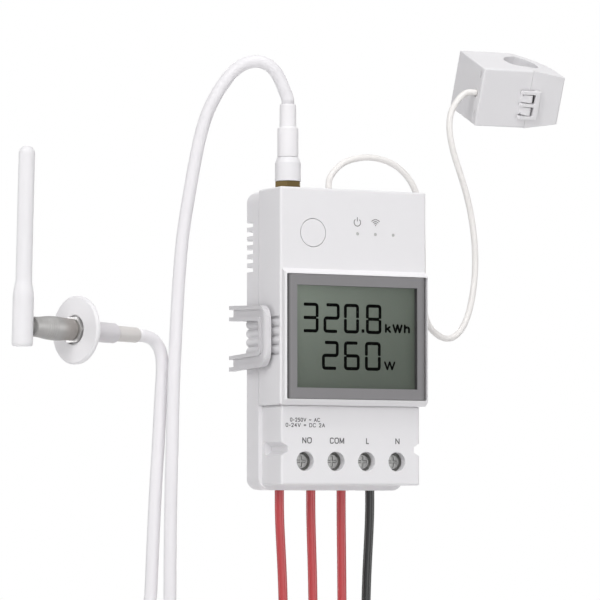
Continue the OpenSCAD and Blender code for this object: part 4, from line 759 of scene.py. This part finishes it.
segment_black = printed("switched_segment", (0.003, 0.003, 0.003), 0.0)
segment_face = -24.84
segment_w = 1.05
digit_strokes = {
    "0": ([[0, 0.515], [0, 1], [1, 1], [1, 0.515]], [[0, 0.485], [0, 0], [1, 0], [1, 0.485]]),
    "2": ([[0.1, 1], [1, 1], [1, 0.5], [0, 0.5], [0, 0], [0.92, 0]],),
    "3": ([[0, 1], [1, 1], [1, 0.52]], [[0, 0.5], [0.95, 0.5]], [[1, 0.48], [1, 0], [0, 0]]),
    "6": ([[0.95, 1], [0, 1], [0, 0.52]], [[0, 0.48], [0, 0], [1, 0], [1, 0.5], [0.05, 0.5]]),
    "8": ([[0, 0.52], [0, 1], [1, 1], [1, 0.52]], [[0, 0.48], [0, 0], [1, 0], [1, 0.48]],
          [[0.05, 0.5], [0.95, 0.5]]),
}


def digit(figure, x, z):
    """The strokes of a seven-segment figure, fitted to its outer place across and up."""
    low = np.array([x[0], z[0]]) + segment_w / 2
    size = np.array([x[1] - x[0], z[1] - z[0]]) - segment_w
    return [stroke(bent_path(low + np.asarray(line) * size, 0.85, 0.12), segment_w, 0.6)
            for line in digit_strokes[figure]]


figure_shift = 0.42
upper_z = (1.9, 11.55)
lower_z = (-10.1, -0.7)


def shifted(x0, x1):
    """A place across the cell, moved to where the figures stand behind the window."""
    return x0 + figure_shift, x1 + figure_shift


upper_row = []
for figure, x0, x1 in (("3", -19.45, -13.45), ("2", -11.64, -5.68), ("0", -4.1, 1.46), ("8", 4.04, 9.79)):
    upper_row += digit(figure, shifted(x0, x1), upper_z)
point_ends = [[x, 2.8] for x in shifted(2.37, 3.49)]
upper_row.append(stroke(bent_path(point_ends, 0.1, 0.05), 1.1, 0.3))
flat_marks("energy_figures", upper_row, segment_face, segment_black)
lower_row = []
for figure, x0, x1 in (("2", -12.19, -6.05), ("6", -4.11, 1.7), ("0", 3.66, 9.51)):
    lower_row += digit(figure, shifted(x0, x1), lower_z)
flat_marks("power_figures", lower_row, segment_face, segment_black)
flat_marks("energy_unit", lettering("kWh", shifted(11.11, 20.49), (2.3, 5.4), 0.72), segment_face,
           segment_black)
flat_marks("power_unit", lettering("W", shifted(10.72, 15.02), (-9.85, -6.85), 0.64), segment_face,
           segment_black)

# Backlight and display pins
# A white diffuser block behind the cell, lit from its edge, and a row of pins in a black strip that carries
# the cell's signals to the board.
inner_plastic = moulded("diffuser_white_plastic", (0.76, 0.76, 0.73), 0.5)
dark_plastic = moulded("black_component_plastic", (0.025, 0.025, 0.027), 0.5, 0.1)
dress("backlight", inner_plastic)
dress("display_pins", dark_plastic)

# Button
# A round white cap flush with the panel, moulded like the case. Its flange stops it behind the panel,
# and its stem works a push switch.
dress("button_cap", case_plastic)

# Indicator lights
# Three clear light pipes that end as small dots in the panel, over the light chips on the board. They are
# moulded in acrylic and pressed into the cover.
dress("light_pipes", moulded("clear_pipe_plastic", (0.50, 0.50, 0.49), 0.2, 0.05))
dress("indicator_leds", inner_plastic)

# Board
# A glass-fibre board with green solder mask over copper tracks, held on the tray's posts.
# Its tracks show as paler, raised lines.
board_mask, board_tree, board_shader = new_finish("green_solder_mask", {
    "Coat Weight": 0.3, "Roughness": 0.38})
board_lay = added(board_tree, "Mapping", {"Rotation": (np.pi / 2, 0.0, 0.0)},
                  {"Vector": added(board_tree, "TexCoord").outputs["Object"]})
board_tracks = added(board_tree, "TexBrick", {
    "Scale": 240.0, "Mortar Size": 0.06, "Color1": (0.015, 0.10, 0.035, 1.0),
    "Color2": (0.02, 0.13, 0.045, 1.0), "Mortar": (0.045, 0.21, 0.075, 1.0)},
    {"Vector": board_lay.outputs[0]})
feed(board_tree, board_shader, {"Base Color": board_tracks.outputs["Color"],
                                "Normal": relief(board_tree, board_tracks.outputs["Fac"], 0.4, 0.00004)})
dress("main_board", board_mask)

# Board components
# The relay in its blue case, the potted supply module, an electrolytic capacitor, the shielded radio module
# and the push switch under the button, all soldered to the board.
dress("power_relay", moulded("relay_blue_plastic", (0.03, 0.08, 0.22), 0.4, 0.08))
dress("supply_module", dark_plastic)
dress("supply_capacitor", moulded("capacitor_sleeve", (0.03, 0.03, 0.04), 0.3, 0.15, 900.0))
dress("radio_module", machined("tinned_shield", (0.70, 0.70, 0.68), 0.36, (60, 900, 900)))
dress("tact_switch", dark_plastic)

# Terminals
# Four screw clamps in a white block: a zinc-plated cage is drawn up by its screw and presses the wire to a
# copper bar, which runs up to the board. A shallow cross is pressed into each screw's pan head.
dress("terminal_block", inner_plastic)
dress("contact_bars", machined("drawn_copper", (0.72, 0.33, 0.16), 0.34, (700, 700, 60)))
cage_zinc = machined("cage_zinc", (0.58, 0.58, 0.56), 0.4, (250, 900, 900))
screw_zinc = machined("screw_zinc", (0.34, 0.34, 0.335), 0.4, (900, 200, 900))
head_h = 2.0
head_crown = 0.05
rim_reach = 0.45
rim_drop = 0.5
shank_d = 3.0
tip_ease = 0.4
cross_half = 0.36
cross_reach = 1.75
cross_depth = 0.5


def cross_recess(x, z, ease=0.22):
    """How far a place lies inside a cross, from 0 to 1: two crossed bars whose edges fade over a length."""
    def inside(room):
        return smooth_step(room / ease + 0.5)

    upright = inside(cross_half - np.abs(x)) * inside(cross_reach - np.abs(z))
    level = inside(cross_half - np.abs(z)) * inside(cross_reach - np.abs(x))
    return np.maximum(upright, level)


def driven_screw(node, body, sides=96):
    """A pan-head screw in its node's own box: a profile turned about Y, and a cross pressed in."""
    box = np.array(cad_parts[node].bound_box) / MM
    low, high = box.min(0), box.max(0)
    middle = (low + high) / 2
    radius = (high[0] - low[0]) / 2
    length = high[1] - low[1]
    out = np.linspace(0, radius - rim_reach, 26)
    face = np.stack([out, head_crown * (out / radius) ** 2], 1)
    t = np.linspace(0.15, np.pi / 2, 8)
    rim = np.stack([radius - rim_reach + rim_reach * np.sin(t), head_crown + rim_drop * (1 - np.cos(t))], 1)
    shank = [[radius, head_h], [shank_d / 2, head_h], [shank_d / 2, length - tip_ease],
             [shank_d / 2 - tip_ease, length], [0, length]]
    profile = np.concatenate([face, rim, shank])
    a = np.linspace(0, 2 * np.pi, sides, endpoint=False)
    x = profile[:, :1] * np.cos(a)
    z = profile[:, :1] * np.sin(a)
    pressed = cross_depth * cross_recess(x, z) * (profile[:, 1:] < rim_drop)
    points = np.stack([middle[0] + x, low[1] + profile[:, 1:] + pressed, middle[2] + z], -1)
    fitted(laid_mesh(node + "_driven", points * MM, ring_faces(len(profile), sides)), screw_zinc,
           "plated_steel", body, node)


for k in range(1, 5):
    dress("terminal_cage_%d" % k, cage_zinc)
    driven_screw("terminal_screw_%d" % k, "screw_%d" % k)

# Case screws
# Four zinc-plated pan-head screws, driven from the back into the front cover's posts. They sit in round
# holes in the back of the tray.
dress("case_screws", screw_zinc)

# Rail latch
# A U-shaped pull bow with raised edges, moulded in white plastic in one with its guide prongs and its rail
# jaw.
# Its white is set greyer than the case's: painted shade on the bow. It slides in the tray, and its prongs
# spring it shut.
# Painted shade: the latch's white is a darker copy of the case white.
dress("rail_latch", moulded("latch_painted_shade_plastic", (0.65, 0.64, 0.655), 0.5))

# Antenna jack
# The threaded brass jack on the top wall and its hex nut, turned from brass with a dull gold plating. The
# nut draws the jack's shoulder up against the wall from inside.
jack_brass = machined("turned_brass", (0.098, 0.071, 0.031), 0.42, (300, 300, 1500))
dress("antenna_jack", jack_brass)
dress("jack_nut", jack_brass)

# Plug coupling
# The smooth white coupling sleeve of the antenna plug, which screws down over the jack. It is moulded
# round a threaded insert.
dress("plug_coupling", case_plastic)

# Panel disc and connector
# The antenna's bulkhead: a threaded connector through a white plastic disc, with a plated hex nut let into
# the disc's recess.
dress("panel_flange", case_plastic)
dress("panel_nut", machined("nut_nickel", (0.56, 0.555, 0.55), 0.52, (900, 900, 900)))
dress("panel_connector", machined("connector_nickel", (0.36, 0.34, 0.32), 0.34, (1500, 300, 300)))

# Antenna barrel
# The swivel's turned barrel, satin grey with a row of fine rings round its bulging middle. It screws onto
# the connector's thread up to the nut, turns on the spindle, and has a plain end of a warmer grey.
barrel_low = 2.2
barrel_high = 18.2
barrel_swell = smooth_route([
    [3.5, barrel_low, 0], [3.6, 5.2, 0], [3.75, 6.8, 0], [3.85, 9.5, 0], [3.8, 11.2, 0], [3.6, 13.4, 0],
    [3.33, 15.4, 0], [3.15, barrel_high, 0]], 0.06)
barrel_run = barrel_swell[:, 1]
ring_low = 10.2
ring_high = 14.5
ring_gap = 0.86
ring_depth = 0.06
groove_place = 5.3
groove_depth = 0.05
groove_half = 0.12
barrel_rings = ring_depth * (0.5 - 0.5 * np.cos(2 * np.pi * (barrel_run - ring_low) / ring_gap))
barrel_rings *= np.where((barrel_run > ring_low) & (barrel_run < ring_high), 1.0, 0.0)
barrel_rings += groove_depth * np.exp(-((barrel_run - groove_place) / groove_half) ** 2)
barrel_skin = np.stack([barrel_swell[:, 0] - barrel_rings, barrel_run], 1)
barrel_profile = np.concatenate([
    [[3.2, barrel_low]], barrel_skin,
    [[2.05, barrel_high], [2.05, 12.3], [3.2, 12.3], [3.2, barrel_low]]])
barrel_metal = machined("barrel_satin_grey", (0.31, 0.305, 0.30), 0.52, (1800, 300, 300))
barrel_tree = barrel_metal.node_tree
barrel_shader = barrel_tree.nodes["Principled BSDF"]
barrel_grey = barrel_shader.inputs["Base Color"].links[0].from_socket
barrel_place = added(barrel_tree, "TexCoord").outputs["UV"]
barrel_axes = added(barrel_tree, "SeparateXYZ", {}, {0: barrel_place}).outputs
barrel_end = added(barrel_tree, "MapRange", {"From Min": 0.3, "From Max": 0.7}, {"Value": barrel_axes["X"]})
barrel_shade = added(barrel_tree, "Mix", {6: (0.33, 0.31, 0.295, 1.0)},
                     {0: barrel_end.outputs[0], 7: barrel_grey}, data_type="RGBA")
feed(barrel_tree, barrel_shader, {"Base Color": barrel_shade.outputs[2]})
fitted(turned("antenna_barrel_turned", barrel_profile, swivel_foot, swivel_axis), barrel_metal,
       "barrel_grey", "barrel", "antenna_barrel")

# Antenna
# The upright white antenna, a tapered moulding over a copper rod, snapped on the swivel's spindle, whose
# thin grey collar shows between barrel and blade.
dress("antenna_spindle", moulded("spindle_grey_plastic", (0.28, 0.275, 0.27), 0.4, 0.05))
dress("antenna_blade", case_plastic)
dress("antenna_rod", machined("rod_copper", (0.72, 0.33, 0.16), 0.34, (900, 900, 80)))

# Current clamp
# Two white halves of a split-core clamp round an opening for the conductor, hinged at the back and held shut
# by a barred clasp on the front. The ground core halves and the copper winding lie inside, and a grommet
# seals the lead's way into the case.
flat_angle = np.radians(0.5)
edge_angle = np.radians(40)
clamp_ease = 0.0008
clasp_ease = 0.0003


def eased_copy(node, body, finish, radius):
    """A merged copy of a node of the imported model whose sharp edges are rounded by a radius."""
    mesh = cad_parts[node].data.copy()
    mesh.name = node + "_eased"
    work = bmesh.new()
    work.from_mesh(mesh)
    bmesh.ops.remove_doubles(work, verts=work.verts, dist=1e-6)
    bmesh.ops.dissolve_limit(work, angle_limit=flat_angle, verts=work.verts, edges=work.edges)
    work.to_mesh(mesh)
    work.free()
    mesh.materials.clear()
    piece = bpy.data.objects.new(node + "_eased", mesh)
    bpy.context.scene.collection.objects.link(piece)
    ease = piece.modifiers.new("eased_edges", "BEVEL")
    ease.width = radius
    ease.segments = 3
    ease.limit_method = "ANGLE"
    ease.angle_limit = edge_angle
    fitted(piece, finish, "case_white", body, node)


eased_copy("clamp_body", "monitor", case_plastic, clamp_ease)
eased_copy("clamp_jaw", "jaw", case_plastic, clamp_ease)
eased_copy("clamp_clasp", "jaw", case_plastic, clasp_ease)
core_steel = machined("ground_core", (0.10, 0.10, 0.10), 0.45, (900, 900, 2600))
dress("clamp_core", core_steel)
dress("jaw_core", core_steel)
dress("clamp_winding", machined("winding_copper", (0.60, 0.24, 0.09), 0.3, (200, 2600, 200)))
dress("clamp_hinge_pin", cage_zinc)
dress("sensor_grommet", inner_plastic)
